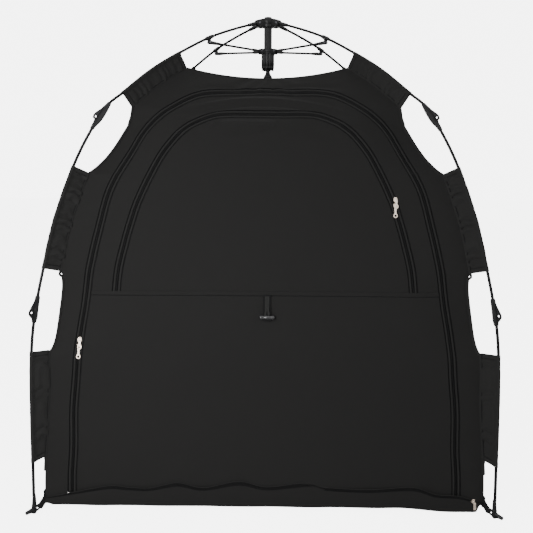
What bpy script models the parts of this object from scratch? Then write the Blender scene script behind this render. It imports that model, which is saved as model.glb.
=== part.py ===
"""A pop-up sleep tent for a baby's travel cot: four folding legs under an umbrella hub, and a fabric cover.

Metres, +Z up. The front faces -Y, and the origin is on the floor under the hub.
"""

import bisect
import math

import bmesh
import bpy
from mathutils import Matrix, Vector

# The frame's plan: where the feet stand, and the leg's line seen side on as (radius, height)
FOOT_X = 0.620
FOOT_Y = 0.496
LEG_LINE = [
    (0.040, 1.404),
    (0.135, 1.375),
    (0.233, 1.338),
    (0.341, 1.282),
    (0.439, 1.223),
    (0.534, 1.150),
    (0.582, 1.112),
    (0.633, 1.039),
    (0.685, 0.939),
    (0.739, 0.793),
    (0.771, 0.660),
    (0.787, 0.5845),
    (0.798, 0.513),
    (0.8035, 0.4376),
    (0.8035, 0.3246),
    (0.798, 0.138),
    (0.794, 0.0),
]
# Points of that line, by number
BRACKET, ROOF_CORNER, ELBOW_1, ELBOW_1_END = 2, 3, 6, 7
SLEEVE_2, SLEEVE_2_END, ELBOW_2, ELBOW_2_END, SLEEVE_3, SLEEVE_3_END = 8, 10, 11, 12, 13, 15

# Lengths along the leg: the first sleeve's end, and each elbow's ends
SLEEVE_1_END = 0.560
UPPER_ELBOW = (0.612, 0.706)
LOWER_ELBOW = (1.190, 1.262)

POLE_R = 0.0035
GAP = 0.0003
SEAM_GAP = 0.0006
CLOTH = 0.002

# Hub
CROWN_R, CROWN_BASE, CROWN_TOP = 0.020, 1.391, 1.427
POST_R, SOCKET_R, POST_TOP = 0.0125, 0.0132, 1.409
GRIP_R, GRIP_TOP, GRIP_BASE = 0.019, 1.297, 1.250
KNOB_BASE = 1.2242
STRUT_R = 0.0033
STRUT_INNER = (0.030, 1.312)
LUG_DROP = 0.015
EYE_R = 0.0055

# Cover
CORNER_DEPTH, HEM_DEPTH = 0.050, 0.032
HOLE_SPREAD = 0.16
CORNER_ROOM = 0.0032
EDGE_SAG, WALL_SAG = 0.033, 0.012
HEM_BASE, HEM_TOP = 0.018, 0.064
SEAM_Z = 0.586
ZIP_HALF = 0.013

# How far the cover's corner steps back beside each elbow, as (length along the leg, depth)
HOLES = [(0.557, 0.0), (0.566, 0.010), (0.578, 0.024), (0.597, 0.036), (0.628, 0.040), (0.672, 0.0415)]
HOLES += [(0.705, 0.0403), (0.730, 0.037), (0.755, 0.0325), (0.780, 0.0245), (0.800, 0.0165), (0.815, 0.008)]
HOLES += [(0.828, 0.0), (1.116, 0.0), (1.124, 0.006), (1.136, 0.0125), (1.160, 0.0185), (1.200, 0.022)]
HOLES += [(1.250, 0.023), (1.295, 0.021), (1.320, 0.0165), (1.338, 0.010), (1.350, 0.0)]

QUADRANTS = {
    "front_left": (-1, -1),
    "front_right": (1, -1),
    "rear_left": (-1, 1),
    "rear_right": (1, 1),
}

PHI = math.atan2(FOOT_Y, FOOT_X)
COS, SIN = math.cos(PHI), math.sin(PHI)


# Curves


def through(points, each=12):
    """A smooth line through the points, with each stretch cut into equal steps."""
    found, last = [], len(points) - 1
    for i in range(last):
        near = [points[max(i - 1, 0)], points[i], points[i + 1], points[min(i + 2, last)]]
        for k in range(each):
            t = k / each
            weights = (
                -t + 2 * t**2 - t**3,
                2 - 5 * t**2 + 3 * t**3,
                t + 4 * t**2 - 3 * t**3,
                t**3 - t**2,
            )
            found.append(tuple(sum(w * p[n] for w, p in zip(weights, near)) / 2 for n in range(2)))
    return found + [tuple(points[-1])]


LEG = through(LEG_LINE)
ARC = [0.0]
for one, two in zip(LEG, LEG[1:]):
    ARC.append(ARC[-1] + math.dist(one, two))
KNOT = [ARC[12 * i] for i in range(len(LEG_LINE))]


def leg_at(s):
    """The leg's line at a length from its pivot: ((radius, height), direction)."""
    s = min(max(s, 0.0), ARC[-1])
    i = min(bisect.bisect_right(ARC, s) - 1, len(LEG) - 2)
    a, b = LEG[i], LEG[i + 1]
    step = math.dist(a, b)
    t = (s - ARC[i]) / step
    return (a[0] + (b[0] - a[0]) * t, a[1] + (b[1] - a[1]) * t), ((b[0] - a[0]) / step, (b[1] - a[1]) / step)


def ramp(low, high, value):
    t = min(max((value - low) / (high - low), 0.0), 1.0)
    return t * t * (3 - 2 * t)


def beside_leg(s, depth):
    """(radius, height) of a point that lies inside the leg's line."""
    (r, z), (tr, tz) = leg_at(s)
    return r + depth * tz, z - depth * tr


def corner_at(s):
    """The cover's corner, in the leg's plane."""
    depth = CORNER_DEPTH - (CORNER_DEPTH - HEM_DEPTH) * ramp(KNOT[14], KNOT[15] + 0.08, s)
    return beside_leg(s, depth)


def length_at_height(z):
    """The length along the leg where the cover's corner has this height."""
    low, high = KNOT[ROOF_CORNER], ARC[-1]
    for _ in range(40):
        middle = (low + high) / 2
        if corner_at(middle)[1] > z:
            low = middle
        else:
            high = middle
    return (low + high) / 2


def hole_depth(s):
    """How far the wall's edge steps back beside an elbow, where the leg stands free of the cover."""
    for (low, a), (high, b) in zip(HOLES, HOLES[1:]):
        if low <= s <= high:
            return a + (b - a) * (s - low) / (high - low)
    return 0.0


# Lengths at which the walls and the binding both have a row, from the roof to the foot
CORNER_ROWS = [0.37, 0.42, 0.47, 0.52, *(s for s, _ in HOLES[:13]), 0.89, 0.97, 1.05]
CORNER_ROWS += [*(s for s, _ in HOLES[13:]), 1.41, 1.48, 1.55, 1.62]


# The walls: a point by its place across (-1 to 1) and its length along the leg


def edge_across(s, side):
    """How far a wall reaches towards its corner, as a share of the half width."""
    r = corner_at(s)[0]
    half = r * (COS if side in ("front", "rear") else SIN)
    _, (_, tz) = leg_at(s)
    room = CORNER_ROOM - tz * hole_depth(s) * (COS if side in ("front", "rear") else SIN)
    return 1 - room / half


def wall_point(side, across, s):
    r, z = corner_at(s)
    bow = 1 - across * across
    z -= EDGE_SAG * bow * (1 - ramp(KNOT[ROOF_CORNER], KNOT[8], s))
    inward = WALL_SAG * bow * ramp(KNOT[3], KNOT[8], s) * (1 - ramp(KNOT[14], KNOT[16], s))
    x, y = r * COS, r * SIN
    # Beside an elbow the cloth turns in to the binding, which steps back there
    half, back = (x, y) if side in ("front", "rear") else (y, x)
    edge = edge_across(s, side)
    _, (tr, tz) = leg_at(s)
    pull = hole_depth(s) * ramp(edge - HOLE_SPREAD / half, edge, abs(across))
    inward -= tz * pull * back / r
    z -= tr * pull
    if side == "front":
        return Vector((across * x, -y + inward, z))
    if side == "rear":
        return Vector((-across * x, y - inward, z))
    if side == "left":
        return Vector((-x + inward, -across * y, z))
    return Vector((x - inward, across * y, z))


def front_place(x, z):
    """(across, s) of the front wall's point at this x and height."""
    low, high = KNOT[ROOF_CORNER], ARC[-1]
    for _ in range(40):
        s = (low + high) / 2
        across = x / (corner_at(s)[0] * COS)
        if wall_point("front", max(min(across, 1), -1), s).z > z:
            low = s
        else:
            high = s
    return across, s


def front_point(x, z):
    return wall_point("front", *front_place(x, z))


# Scene helpers


def new_collection(name):
    found = bpy.data.collections.new(name)
    bpy.context.scene.collection.children.link(found)
    return found


def material(name, colour, roughness, metallic=0.0):
    made = bpy.data.materials.new(name)
    made.use_nodes = True
    shader = made.node_tree.nodes["Principled BSDF"]
    shader.inputs["Base Color"].default_value = (*colour, 1)
    shader.inputs["Roughness"].default_value = roughness
    shader.inputs["Metallic"].default_value = metallic
    return made


LOOKS = {
    "cover_cloth": ((0.022, 0.022, 0.024), 0.85, 0.0),
    "sleeve_cloth": ((0.014, 0.014, 0.015), 0.9, 0.0),
    "zip_tape": ((0.018, 0.018, 0.02), 0.7, 0.0),
    "webbing": ((0.012, 0.012, 0.013), 0.8, 0.0),
    "pole": ((0.008, 0.008, 0.009), 0.35, 0.0),
    "plastic": ((0.03, 0.031, 0.033), 0.45, 0.0),
    "pull_metal": ((0.72, 0.6, 0.53), 0.3, 1.0),
}


def add(name, mesh, look, parent=None):
    """A mesh as one named object with its own material, under its joint's empty if it moves."""
    obj = bpy.data.objects.new(name, mesh)
    PARTS.objects.link(obj)
    colour, roughness, metallic = LOOKS[look]
    mesh.materials.clear()
    mesh.materials.append(material(name + "_" + look, colour, roughness, metallic))
    if parent:
        obj.parent = parent
        obj.matrix_parent_inverse = parent.matrix_world.inverted()
    return obj


def pivot(name, place):
    """An empty on a joint's axis."""
    empty = bpy.data.objects.new(name, None)
    empty.location = place
    empty.empty_display_size = 0.03
    PARTS.objects.link(empty)
    bpy.context.view_layer.update()
    return empty


def mesh_of(bm, name, smooth=True):
    bmesh.ops.remove_doubles(bm, verts=bm.verts, dist=1e-6)
    bmesh.ops.recalc_face_normals(bm, faces=bm.faces)
    mesh = bpy.data.meshes.new(name)
    bm.to_mesh(mesh)
    bm.free()
    if smooth:
        mesh.shade_smooth()
        mesh.set_sharp_from_angle(angle=math.radians(35))
    return mesh


def grid(rows, closed=False):
    """An open surface through rows of points."""
    bm = bmesh.new()
    verts = [[bm.verts.new(p) for p in row] for row in rows]
    for upper, lower in zip(verts, verts[1:]):
        count = len(upper)
        for k in range(count if closed else count - 1):
            n = (k + 1) % count
            bm.faces.new((upper[k], upper[n], lower[n], lower[k]))
    return bm


def sheet(name, bm, look, thickness=CLOTH, facing=None, offset=-1, parent=None):
    """Cloth: an open surface with Solidify. facing is a direction on the side that the surface shows."""
    bmesh.ops.remove_doubles(bm, verts=bm.verts, dist=1e-5)
    bmesh.ops.dissolve_degenerate(bm, edges=bm.edges, dist=1e-6)
    bmesh.ops.recalc_face_normals(bm, faces=bm.faces)
    total = Vector()
    for face in bm.faces:
        total += face.normal * face.calc_area()
    if facing is not None and total.dot(Vector(facing)) < 0:
        bmesh.ops.reverse_faces(bm, faces=bm.faces)
    mesh = bpy.data.meshes.new(name)
    bm.to_mesh(mesh)
    bm.free()
    mesh.shade_smooth()
    obj = add(name, mesh, look, parent)
    solid = obj.modifiers.new("thickness", "SOLIDIFY")
    solid.thickness = thickness
    solid.offset = offset
    return obj


def frame_of(direction, side):
    """A matrix whose Z runs along the direction and whose X is nearest to side."""
    z = Vector(direction).normalized()
    y = z.cross(Vector(side)).normalized()
    x = y.cross(z)
    return Matrix((x, y, z)).transposed().to_4x4()


def loft(sections):
    """A closed solid through rings of as many points each."""
    bm = bmesh.new()
    rings = [[bm.verts.new(p) for p in ring] for ring in sections]
    for low, high in zip(rings, rings[1:]):
        for k in range(len(low)):
            n = (k + 1) % len(low)
            bm.faces.new((low[k], low[n], high[n], high[k]))
    bm.faces.new(rings[0][::-1])
    bm.faces.new(rings[-1])
    return bm


def tube_between(start, end, radius, sides=12, tip=None):
    """A round bar between two points."""
    bm = bmesh.new()
    run = Vector(end) - Vector(start)
    bmesh.ops.create_cone(
        bm,
        cap_ends=True,
        segments=sides,
        radius1=radius,
        radius2=tip if tip is not None else radius,
        depth=run.length,
        matrix=Matrix.Translation((Vector(start) + Vector(end)) / 2)
        @ run.to_track_quat("Z", "Y").to_matrix().to_4x4(),
    )
    return bm


def block(size, place):
    bm = bmesh.new()
    bmesh.ops.create_cube(bm, size=1, matrix=place @ Matrix.Diagonal((*size, 1)))
    return bm


def joined(name, pieces, cuts=()):
    """One mesh: the pieces united, then the cutters taken away."""
    first = bpy.data.objects.new(name, mesh_of(pieces[0], name, smooth=False))
    bpy.context.scene.collection.objects.link(first)
    helpers = []
    for kind, group in (("UNION", pieces[1:]), ("DIFFERENCE", cuts)):
        for bm in group:
            other = bpy.data.objects.new("cut", mesh_of(bm, "cut", smooth=False))
            bpy.context.scene.collection.objects.link(other)
            boolean = first.modifiers.new(kind, "BOOLEAN")
            boolean.operation = kind
            boolean.object = other
            helpers.append(other)
    bpy.context.view_layer.update()
    made = bpy.data.meshes.new_from_object(first.evaluated_get(bpy.context.evaluated_depsgraph_get()))
    for obj in [first, *helpers]:
        bpy.data.objects.remove(obj)
    made.shade_smooth()
    made.set_sharp_from_angle(angle=math.radians(35))
    made.name = name
    return made


def in_leg_plane(corner, r, z, across=0.0):
    """A point by its radius and height in one leg's plane, and how far it stands off that plane."""
    sx, sy = QUADRANTS[corner]
    u = Vector((sx * COS, sy * SIN, 0))
    t = Vector((-sy * SIN, sx * COS, 0)) * (sx * sy)
    return u * r + t * across + Vector((0, 0, z))


def leg_matrix(corner, s):
    """A frame on the leg's line: Z along it, X outward."""
    (r, z), (tr, tz) = leg_at(s)
    sx, sy = QUADRANTS[corner]
    along = Vector((sx * COS * tr, sy * SIN * tr, tz))
    outward = Vector((-sx * COS * tz, -sy * SIN * tz, tr))
    return Matrix.Translation(in_leg_plane(corner, r, z)) @ frame_of(along, outward)


# Frame pieces


def stations(start, end, count):
    return [start + (end - start) * k / count for k in range(count + 1)]


def pole(name, corner, start, end, count, parent):
    """A glass-fibre rod along the leg's line, between two lengths from the pivot."""
    curve = bpy.data.curves.new(name, "CURVE")
    curve.dimensions = "3D"
    curve.bevel_depth = POLE_R
    curve.bevel_resolution = 2
    curve.use_fill_caps = True
    line = curve.splines.new("POLY")
    points = [leg_matrix(corner, s).translation for s in stations(start, end, count)]
    line.points.add(len(points) - 1)
    for point, place in zip(line.points, points):
        point.co = (*place, 1)
    add(name, curve, "pole", parent)


def rounded(matrix, half_x, half_y, shift=0.0, sides=12):
    """A ring with a full, rounded outline."""
    ring = []
    for k in range(sides):
        a = 2 * math.pi * (k + 0.5) / sides
        c, s = math.cos(a), math.sin(a)
        x = math.copysign(abs(c) ** 0.7, c) * half_x + shift
        y = math.copysign(abs(s) ** 0.7, s) * half_y
        ring.append(matrix @ Vector((x, y, 0)))
    return ring


def elbow(name, corner, start, end, parent):
    """A moulded folding elbow: a fork over a socket, with its pivot pin on the outer side."""
    peak = 0.62 if start > 1 else 0.56
    wide, outer = (0.0120, 0.0058) if start > 1 else (0.0124, 0.0008)
    profile = [
        (0.00, 0.0058, 0.0058, 0.000),
        (peak - 0.38, 0.0076, 0.0066, outer * 0.1),
        (peak - 0.16, wide * 0.88, 0.0078, outer * 0.6),
        (peak, wide, 0.0084, outer),
        (peak + 0.14, wide * 0.9, 0.0082, outer * 0.9),
        (peak + 0.26, 0.0078, 0.0070, outer * 0.2),
        (1.00, 0.0056, 0.0056, 0.000),
    ]
    rings = [
        rounded(leg_matrix(corner, start + (end - start) * t), half_x, half_y, shift)
        for t, half_x, half_y, shift in profile
    ]
    add(name, mesh_of(loft(rings), name), "plastic", parent)


def arm_bracket(name, corner, parent):
    """The sleeve clamped on the arm, with the lug that carries the strut's outer end."""
    middle = leg_matrix(corner, KNOT[BRACKET])
    half = 0.015
    bore = POLE_R + 0.0006
    outer = tube_between(middle @ Vector((0, 0, -half)), middle @ Vector((0, 0, half)), 0.0062)
    r, z = lug_point()
    (lr, lz), _ = leg_at(KNOT[BRACKET])
    place = Matrix.Translation(in_leg_plane(corner, (r + lr) / 2, (z + lz - 0.0065) / 2))
    plate = block((0.012, 0.004, lz - 0.0065 - z + 0.012), place @ plane_turn(corner))
    hole = tube_between(middle @ Vector((0, 0, -2 * half)), middle @ Vector((0, 0, 2 * half)), bore)
    add(name, joined(name, [outer, plate], [hole]), "plastic", parent)


def plane_turn(corner):
    """A frame whose X runs outward in the leg's plane and whose Y stands off it."""
    u = in_leg_plane(corner, 1, 0)
    t = in_leg_plane(corner, 0, 0, 1)
    return Matrix((u, t, u.cross(t))).transposed().to_4x4()


def lug_point():
    """(radius, height) of the pivot at a strut's outer end."""
    (r, z), _ = leg_at(KNOT[BRACKET])
    return r, z - LUG_DROP


def strut(name, corner, parent):
    """A strut with a fork over the arm's lug and an eye between the lower hub's ears."""
    outer_r, outer_z = lug_point()
    inner_r, inner_z = STRUT_INNER
    run = Vector((outer_r - inner_r, outer_z - inner_z)).normalized()

    def on_line(from_outer, across=0.0, drop=0.0):
        return in_leg_plane(
            corner,
            outer_r - run.x * from_outer + run.y * drop,
            outer_z - run.y * from_outer - run.x * drop,
            across,
        )

    length = math.dist((outer_r, outer_z), STRUT_INNER)
    rod = tube_between(on_line(0.012), on_line(length - 0.008), STRUT_R, 10)
    turn = frame_of(on_line(0) - on_line(0.1), in_leg_plane(corner, 0, 0, 1))
    pieces = [rod]
    for side in (-1, 1):
        centre = on_line(0.005, side * 0.0040)
        pieces.append(block((0.0030, 0.011, 0.021), Matrix.Translation(centre) @ turn))
    bridge = Matrix.Translation(on_line(0.0125)) @ turn
    pieces.append(block((0.0109, 0.0107, 0.005), bridge))
    eye = block((0.005, 0.0070, 0.015), Matrix.Translation(on_line(length - 0.0045)) @ turn)
    pieces.append(eye)
    add(name, joined(name, pieces), "pole", parent)


def arm_root(corner):
    """The knuckle at an arm's upper end, held between the crown's cheeks."""
    r, z = LEG_LINE[0]
    eye = tube_between(
        in_leg_plane(corner, r, z, -0.0046),
        in_leg_plane(corner, r, z, 0.0046),
        0.006,
    )
    start = leg_matrix(corner, 0.0).translation
    collar = tube_between(start, leg_matrix(corner, 0.026).translation, 0.0044)
    return eye, collar


def foot(name, corner, parent):
    """The moulded boot on a leg's end, with its outer toe and the inner hook for the strap."""
    r, _ = LEG_LINE[-1]
    boot = tube_between(in_leg_plane(corner, r, 0.0), in_leg_plane(corner, r + 0.0003, 0.050), 0.0062, 12, 0.0052)
    toe = block((0.026, 0.011, 0.006), Matrix.Translation(in_leg_plane(corner, r + 0.013, 0.003)) @ plane_turn(corner))
    hook = block((0.014, 0.008, 0.007), Matrix.Translation(in_leg_plane(corner, r - 0.008, 0.013)) @ plane_turn(corner))
    add(name, joined(name, [boot, toe, hook]), "plastic", parent)


def sleeve(name, corner, parent):
    """The corner binding with its three sewn sleeves, each folded round the pole."""
    flaps = [
        (KNOT[ROOF_CORNER], SLEEVE_1_END, 6),
        (KNOT[SLEEVE_2], KNOT[SLEEVE_2_END], 6),
        (KNOT[SLEEVE_3], KNOT[SLEEVE_3_END], 4),
    ]
    round_pole = 0.0055
    pieces = []
    for start, end, count in flaps:
        rows = []
        for s in stations(start, end, count):
            frame = leg_matrix(corner, s)
            depth = CORNER_DEPTH - 0.004
            if s > KNOT[14]:
                depth -= (CORNER_DEPTH - HEM_DEPTH) * ramp(KNOT[14], KNOT[15] + 0.08, s)
            row = [(-depth, 0.0008), (-0.0075, 0.0008)]
            for k in range(5):
                a = math.radians(130 - 65 * k)
                row.append((round_pole * math.cos(a), round_pole * math.sin(a)))
            row += [(-0.0075, -0.0008), (-depth, -0.0008)]
            rows.append([frame @ Vector((x, y, 0)) for x, y in row])
        pieces.append(thick(grid(rows), 0.001))
    pieces.append(binding(corner))
    add(name, joined(name, pieces), "sleeve_cloth", parent)


def thick(bm, thickness):
    """Solidify as a mesh, outward from an open surface."""
    bmesh.ops.recalc_face_normals(bm, faces=bm.faces)
    mesh = bpy.data.meshes.new("cloth")
    bm.to_mesh(mesh)
    bm.free()
    obj = bpy.data.objects.new("cloth", mesh)
    bpy.context.scene.collection.objects.link(obj)
    solid = obj.modifiers.new("thickness", "SOLIDIFY")
    solid.thickness = thickness
    solid.offset = 0
    bpy.context.view_layer.update()
    found = bmesh.new()
    found.from_object(obj, bpy.context.evaluated_depsgraph_get())
    bpy.data.objects.remove(obj)
    return found


def binding(corner):
    """The narrow strip along the cover's corner, which steps back beside the elbows."""
    rings = []
    last = KNOT[SLEEVE_3_END]
    for s in [KNOT[ROOF_CORNER] + 0.002, *CORNER_ROWS, last - 0.002]:
        frame = leg_matrix(corner, s)
        depth = CORNER_DEPTH + hole_depth(s) - 0.003
        if s > KNOT[14]:
            depth -= (CORNER_DEPTH - HEM_DEPTH) * ramp(KNOT[14], KNOT[15] + 0.08, s)
        ring = [(-depth - 0.0022, 0), (-depth, -0.0026), (-depth + 0.004, -0.0026)]
        ring += [(-depth + 0.004, 0.0026), (-depth, 0.0026)]
        rings.append([frame @ Vector((x, y, 0)) for x, y in ring])
    return loft(rings)


def legs():
    for corner in QUADRANTS:
        lift = pivot("leg_" + corner + "_pivot", in_leg_plane(corner, *LEG_LINE[0]))
        upper_end = UPPER_ELBOW[0] - GAP
        rows = [rounded_pole(corner, s) for s in stations(0.020, upper_end, 13)]
        eye, collar = arm_root(corner)
        name = "upper_pole_" + corner
        add(name, joined(name, [loft(rows), collar, eye]), "pole", lift)
        arm_bracket("arm_bracket_" + corner, corner, lift)
        elbow("upper_elbow_" + corner, corner, *UPPER_ELBOW, lift)
        pole("middle_pole_" + corner, corner, UPPER_ELBOW[1] + GAP, LOWER_ELBOW[0] - GAP, 9, lift)
        elbow("lower_elbow_" + corner, corner, *LOWER_ELBOW, lift)
        pole("lower_pole_" + corner, corner, LOWER_ELBOW[1] + GAP, ARC[-1] - 0.0503, 5, lift)
        foot("foot_" + corner, corner, lift)
        sleeve("pole_sleeve_" + corner, corner, lift)
        joint = pivot("strut_" + corner + "_pivot", in_leg_plane(corner, *lug_point()))
        strut("strut_" + corner, corner, joint)


def rounded_pole(corner, s, sides=10):
    frame = leg_matrix(corner, s)
    turns = [2 * math.pi * k / sides for k in range(sides)]
    return [frame @ Vector((POLE_R * math.cos(a), POLE_R * math.sin(a), 0)) for a in turns]


def hub():
    cap = tube_between((0, 0, CROWN_BASE), (0, 0, CROWN_TOP), CROWN_R, 24, 0.017)
    socket = tube_between((0, 0, CROWN_BASE - 0.01), (0, 0, POST_TOP + 0.001), SOCKET_R, 24)
    cheeks = []
    for corner in QUADRANTS:
        for side in (-1, 1):
            centre = in_leg_plane(corner, 0.0325, 1.405, side * 0.0068)
            cheeks.append(block((0.035, 0.0035, 0.018), Matrix.Translation(centre) @ plane_turn(corner)))
    add("crown", joined("crown", [cap, *cheeks], [socket]), "plastic")

    slide = pivot("lower_hub_pivot", (0, 0, GRIP_TOP))
    add("hub_post", mesh_of(tube_between((0, 0, GRIP_TOP + GAP), (0, 0, POST_TOP), POST_R, 24), "hub_post"), "plastic", slide)
    profile = [(GRIP_R, GRIP_TOP), (0.021, GRIP_TOP - 0.006), (0.018, 1.288), (0.0205, 1.280), (0.018, 1.270), (0.0205, 1.262), (0.019, GRIP_BASE)]
    rings = []
    for radius, z in profile:
        ring = []
        for k in range(24):
            a = 2 * math.pi * k / 24
            lobe = 0.9 + 0.1 * abs(math.cos(a))
            ring.append(Vector((radius * lobe * math.cos(a), radius * lobe * math.sin(a), z)))
        rings.append(ring)
    ears = []
    for corner in QUADRANTS:
        for side in (-1, 1):
            centre = in_leg_plane(corner, 0.02575, 1.3055, side * 0.0052)
            ears.append(block((0.0235, 0.0028, 0.033), Matrix.Translation(centre) @ plane_turn(corner)))
    add("lower_hub_grip", joined("lower_hub_grip", [loft(rings[::-1]), *ears]), "plastic", slide)
    bm = tube_between((0, 0, GRIP_BASE - 0.010), (0, 0, GRIP_BASE - GAP), 0.0075, 16)
    ball = bmesh.new()
    bmesh.ops.create_uvsphere(ball, u_segments=16, v_segments=8, radius=0.0095)
    bmesh.ops.translate(ball, verts=ball.verts, vec=(0, 0, KNOB_BASE + 0.0095))
    add("lower_hub_knob", joined("lower_hub_knob", [bm, ball]), "plastic", slide)


# Cover pieces


def wall(name, side):
    """A whole wall from the roof's edge to the hem."""
    start = KNOT[ROOF_CORNER] + 0.0015
    end = length_at_height(HEM_TOP + SEAM_GAP)
    points = []
    for s in [start, *CORNER_ROWS, 1.68, end]:
        reach = edge_across(s, side)
        places = [-1, -0.9, -0.72, -0.4, 0, 0.4, 0.72, 0.9, 1]
        points.append([wall_point(side, reach * place, s) for place in places])
    facing = {"front": (0, -1, 0.2), "rear": (0, 1, 0.2), "left": (-1, 0, 0.2), "right": (1, 0, 0.2)}[side]
    sheet(name, grid(points), "cover_cloth", facing=facing)


# The door's and the window's zips on the front wall, as (x, height) from the foot to the top
DOOR_ZIP = [(0.522, 0.072), (0.520, 0.207), (0.515, 0.375), (0.503, 0.484), (0.490, 0.605), (0.477, 0.682)]
DOOR_ZIP += [(0.464, 0.762), (0.445, 0.840), (0.424, 0.900), (0.387, 0.977), (0.343, 1.049), (0.286, 1.106)]
DOOR_ZIP += [(0.214, 1.145), (0.130, 1.158), (0.0, 1.161)]
WINDOW_ZIP = [(0.409, 0.586), (0.402, 0.670), (0.389, 0.730), (0.371, 0.790), (0.356, 0.842), (0.334, 0.900)]
WINDOW_ZIP += [(0.300, 0.963), (0.268, 1.010), (0.241, 1.042), (0.205, 1.067), (0.150, 1.086), (0.080, 1.090)]
WINDOW_ZIP += [(0.0, 1.090)]


def lengths_of(line):
    found = [0.0]
    for a, b in zip(line, line[1:]):
        found.append(found[-1] + math.dist(a, b))
    return found


def spaced(line, count):
    """The line's points, and its direction there, at equal steps of its length: (x, height, dx, dz)."""
    lengths, found = lengths_of(line), []
    for k in range(count + 1):
        at = lengths[-1] * k / count
        i = min(bisect.bisect_right(lengths, at) - 1, len(line) - 2)
        t = (at - lengths[i]) / (lengths[i + 1] - lengths[i])
        a, b = line[i], line[i + 1]
        dx, dz = b[0] - a[0], b[1] - a[1]
        size = math.hypot(dx, dz)
        found.append((a[0] + dx * t, a[1] + dz * t, dx / size, dz / size))
    return found


def arch(points, shift, below, above):
    """A symmetric line over the front, from left foot to right foot, moved outward by shift.

    It has as many steps below the seam on each side as below says, and above steps over the top.
    """
    half = through(points, 8)
    low = [p for p in half if p[1] <= SEAM_Z + 1e-6]
    high = [p for p in half if p[1] > SEAM_Z + 1e-6]
    if below:
        a, b = low[-1], high[0]
        t = (SEAM_Z - a[1]) / (b[1] - a[1])
        crossing = (a[0] + (b[0] - a[0]) * t, SEAM_Z)
        low, high = low + [crossing], [crossing, *high]
    else:
        high = half
    side = spaced(low, below) if below else []
    over = spaced(high, above // 2)
    right = side[:-1] + over if below else over
    moved = [(x + dz * shift, z - dx * shift) for x, z, dx, dz in right]
    moved[-1] = (0.0, right[-1][1] + shift)
    return [(-x, z) for x, z in moved] + [(x, z) for x, z in moved[-2::-1]]


def between(outer, inner, steps):
    """Rows of front-wall points from one line to another, both over the front."""
    rows = []
    for k in range(steps + 1):
        t = k / steps
        rows.append([front_point(a[0] + (b[0] - a[0]) * t, a[1] + (b[1] - a[1]) * t) for a, b in zip(outer, inner)])
    return rows


BELOW, ABOVE, WINDOW_STEPS = 12, 52, 52
FOOT_Z = HEM_TOP + SEAM_GAP


def wall_outline():
    """The front wall's own edge, from its left foot over the top to its right foot, as (x, height)."""
    bottom, seam = length_at_height(FOOT_Z), length_at_height(SEAM_Z)
    top = KNOT[ROOF_CORNER] + 0.0015
    rows = [top, *CORNER_ROWS, 1.68][::-1]
    side = [bottom, *(s for s in rows if seam + 0.005 < s), seam, *(s for s in rows if s < seam - 0.005)]
    side = evened(side, seam, BELOW, 22)
    left = [(-edge_across(s, "front"), s) for s in side]
    reach = edge_across(top, "front")
    over = [(reach * (2 * k / 8 - 1), top) for k in range(1, 8)]
    places = [wall_point("front", a, s) for a, s in left + over + [(-a, s) for a, s in left[::-1]]]
    return [(p.x, p.z) for p in places]


def evened(side, seam, below, above):
    """The lengths, with rows added in the longest gaps until there are enough on both sides of the seam."""
    for low, count in ((True, below), (False, above)):
        while sum(1 for s in side if (s > seam) == low and s != seam) < count:
            gaps = [(a - b, b) for a, b in zip(side, side[1:]) if (a > seam) == low]
            step, start = max(gaps)
            side = sorted([*side, start + step / 2], reverse=True)
        while sum(1 for s in side if (s > seam) == low and s != seam) > count:
            inner = [n for n in range(1, len(side) - 1) if (side[n] > seam) == low and side[n] != seam]
            side.pop(min(inner, key=lambda n: side[n - 1] - side[n + 1]))
    return side


def with_foot(line, z):
    """The line with both ends brought to one height."""
    return [(line[0][0], z), *line[1:-1], (line[-1][0], z)]


def front():
    facing = (0, -1, 0.2)
    edge = ZIP_HALF
    outer = with_foot(arch(DOOR_ZIP, edge + SEAM_GAP, BELOW, ABOVE), FOOT_Z)
    sheet("front_wall", grid(between(wall_outline(), outer, 4)), "cover_cloth", facing=facing)
    a = with_foot(arch(DOOR_ZIP, edge, BELOW, ABOVE), FOOT_Z)
    b = with_foot(arch(DOOR_ZIP, -edge, BELOW, ABOVE), FOOT_Z)
    sheet("door_zip", grid(between(a, b, 1)), "zip_tape", facing=facing)
    a = with_foot(arch(WINDOW_ZIP, edge, 0, WINDOW_STEPS), SEAM_Z)
    b = with_foot(arch(WINDOW_ZIP, -edge, 0, WINDOW_STEPS), SEAM_Z)
    sheet("window_zip", grid(between(a, b, 1)), "zip_tape", facing=facing)
    door_panel(facing)
    inner = with_foot(arch(WINDOW_ZIP, -edge - SEAM_GAP, 0, WINDOW_STEPS), SEAM_Z)
    foot_line = straight(inner[0], inner[-1], WINDOW_STEPS)
    sheet("window_flap", grid(between(inner, foot_line, 4)), "cover_cloth", facing=facing)


def straight(a, b, count):
    return [(a[0] + (b[0] - a[0]) * k / count, a[1] + (b[1] - a[1]) * k / count) for k in range(count + 1)]


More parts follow.
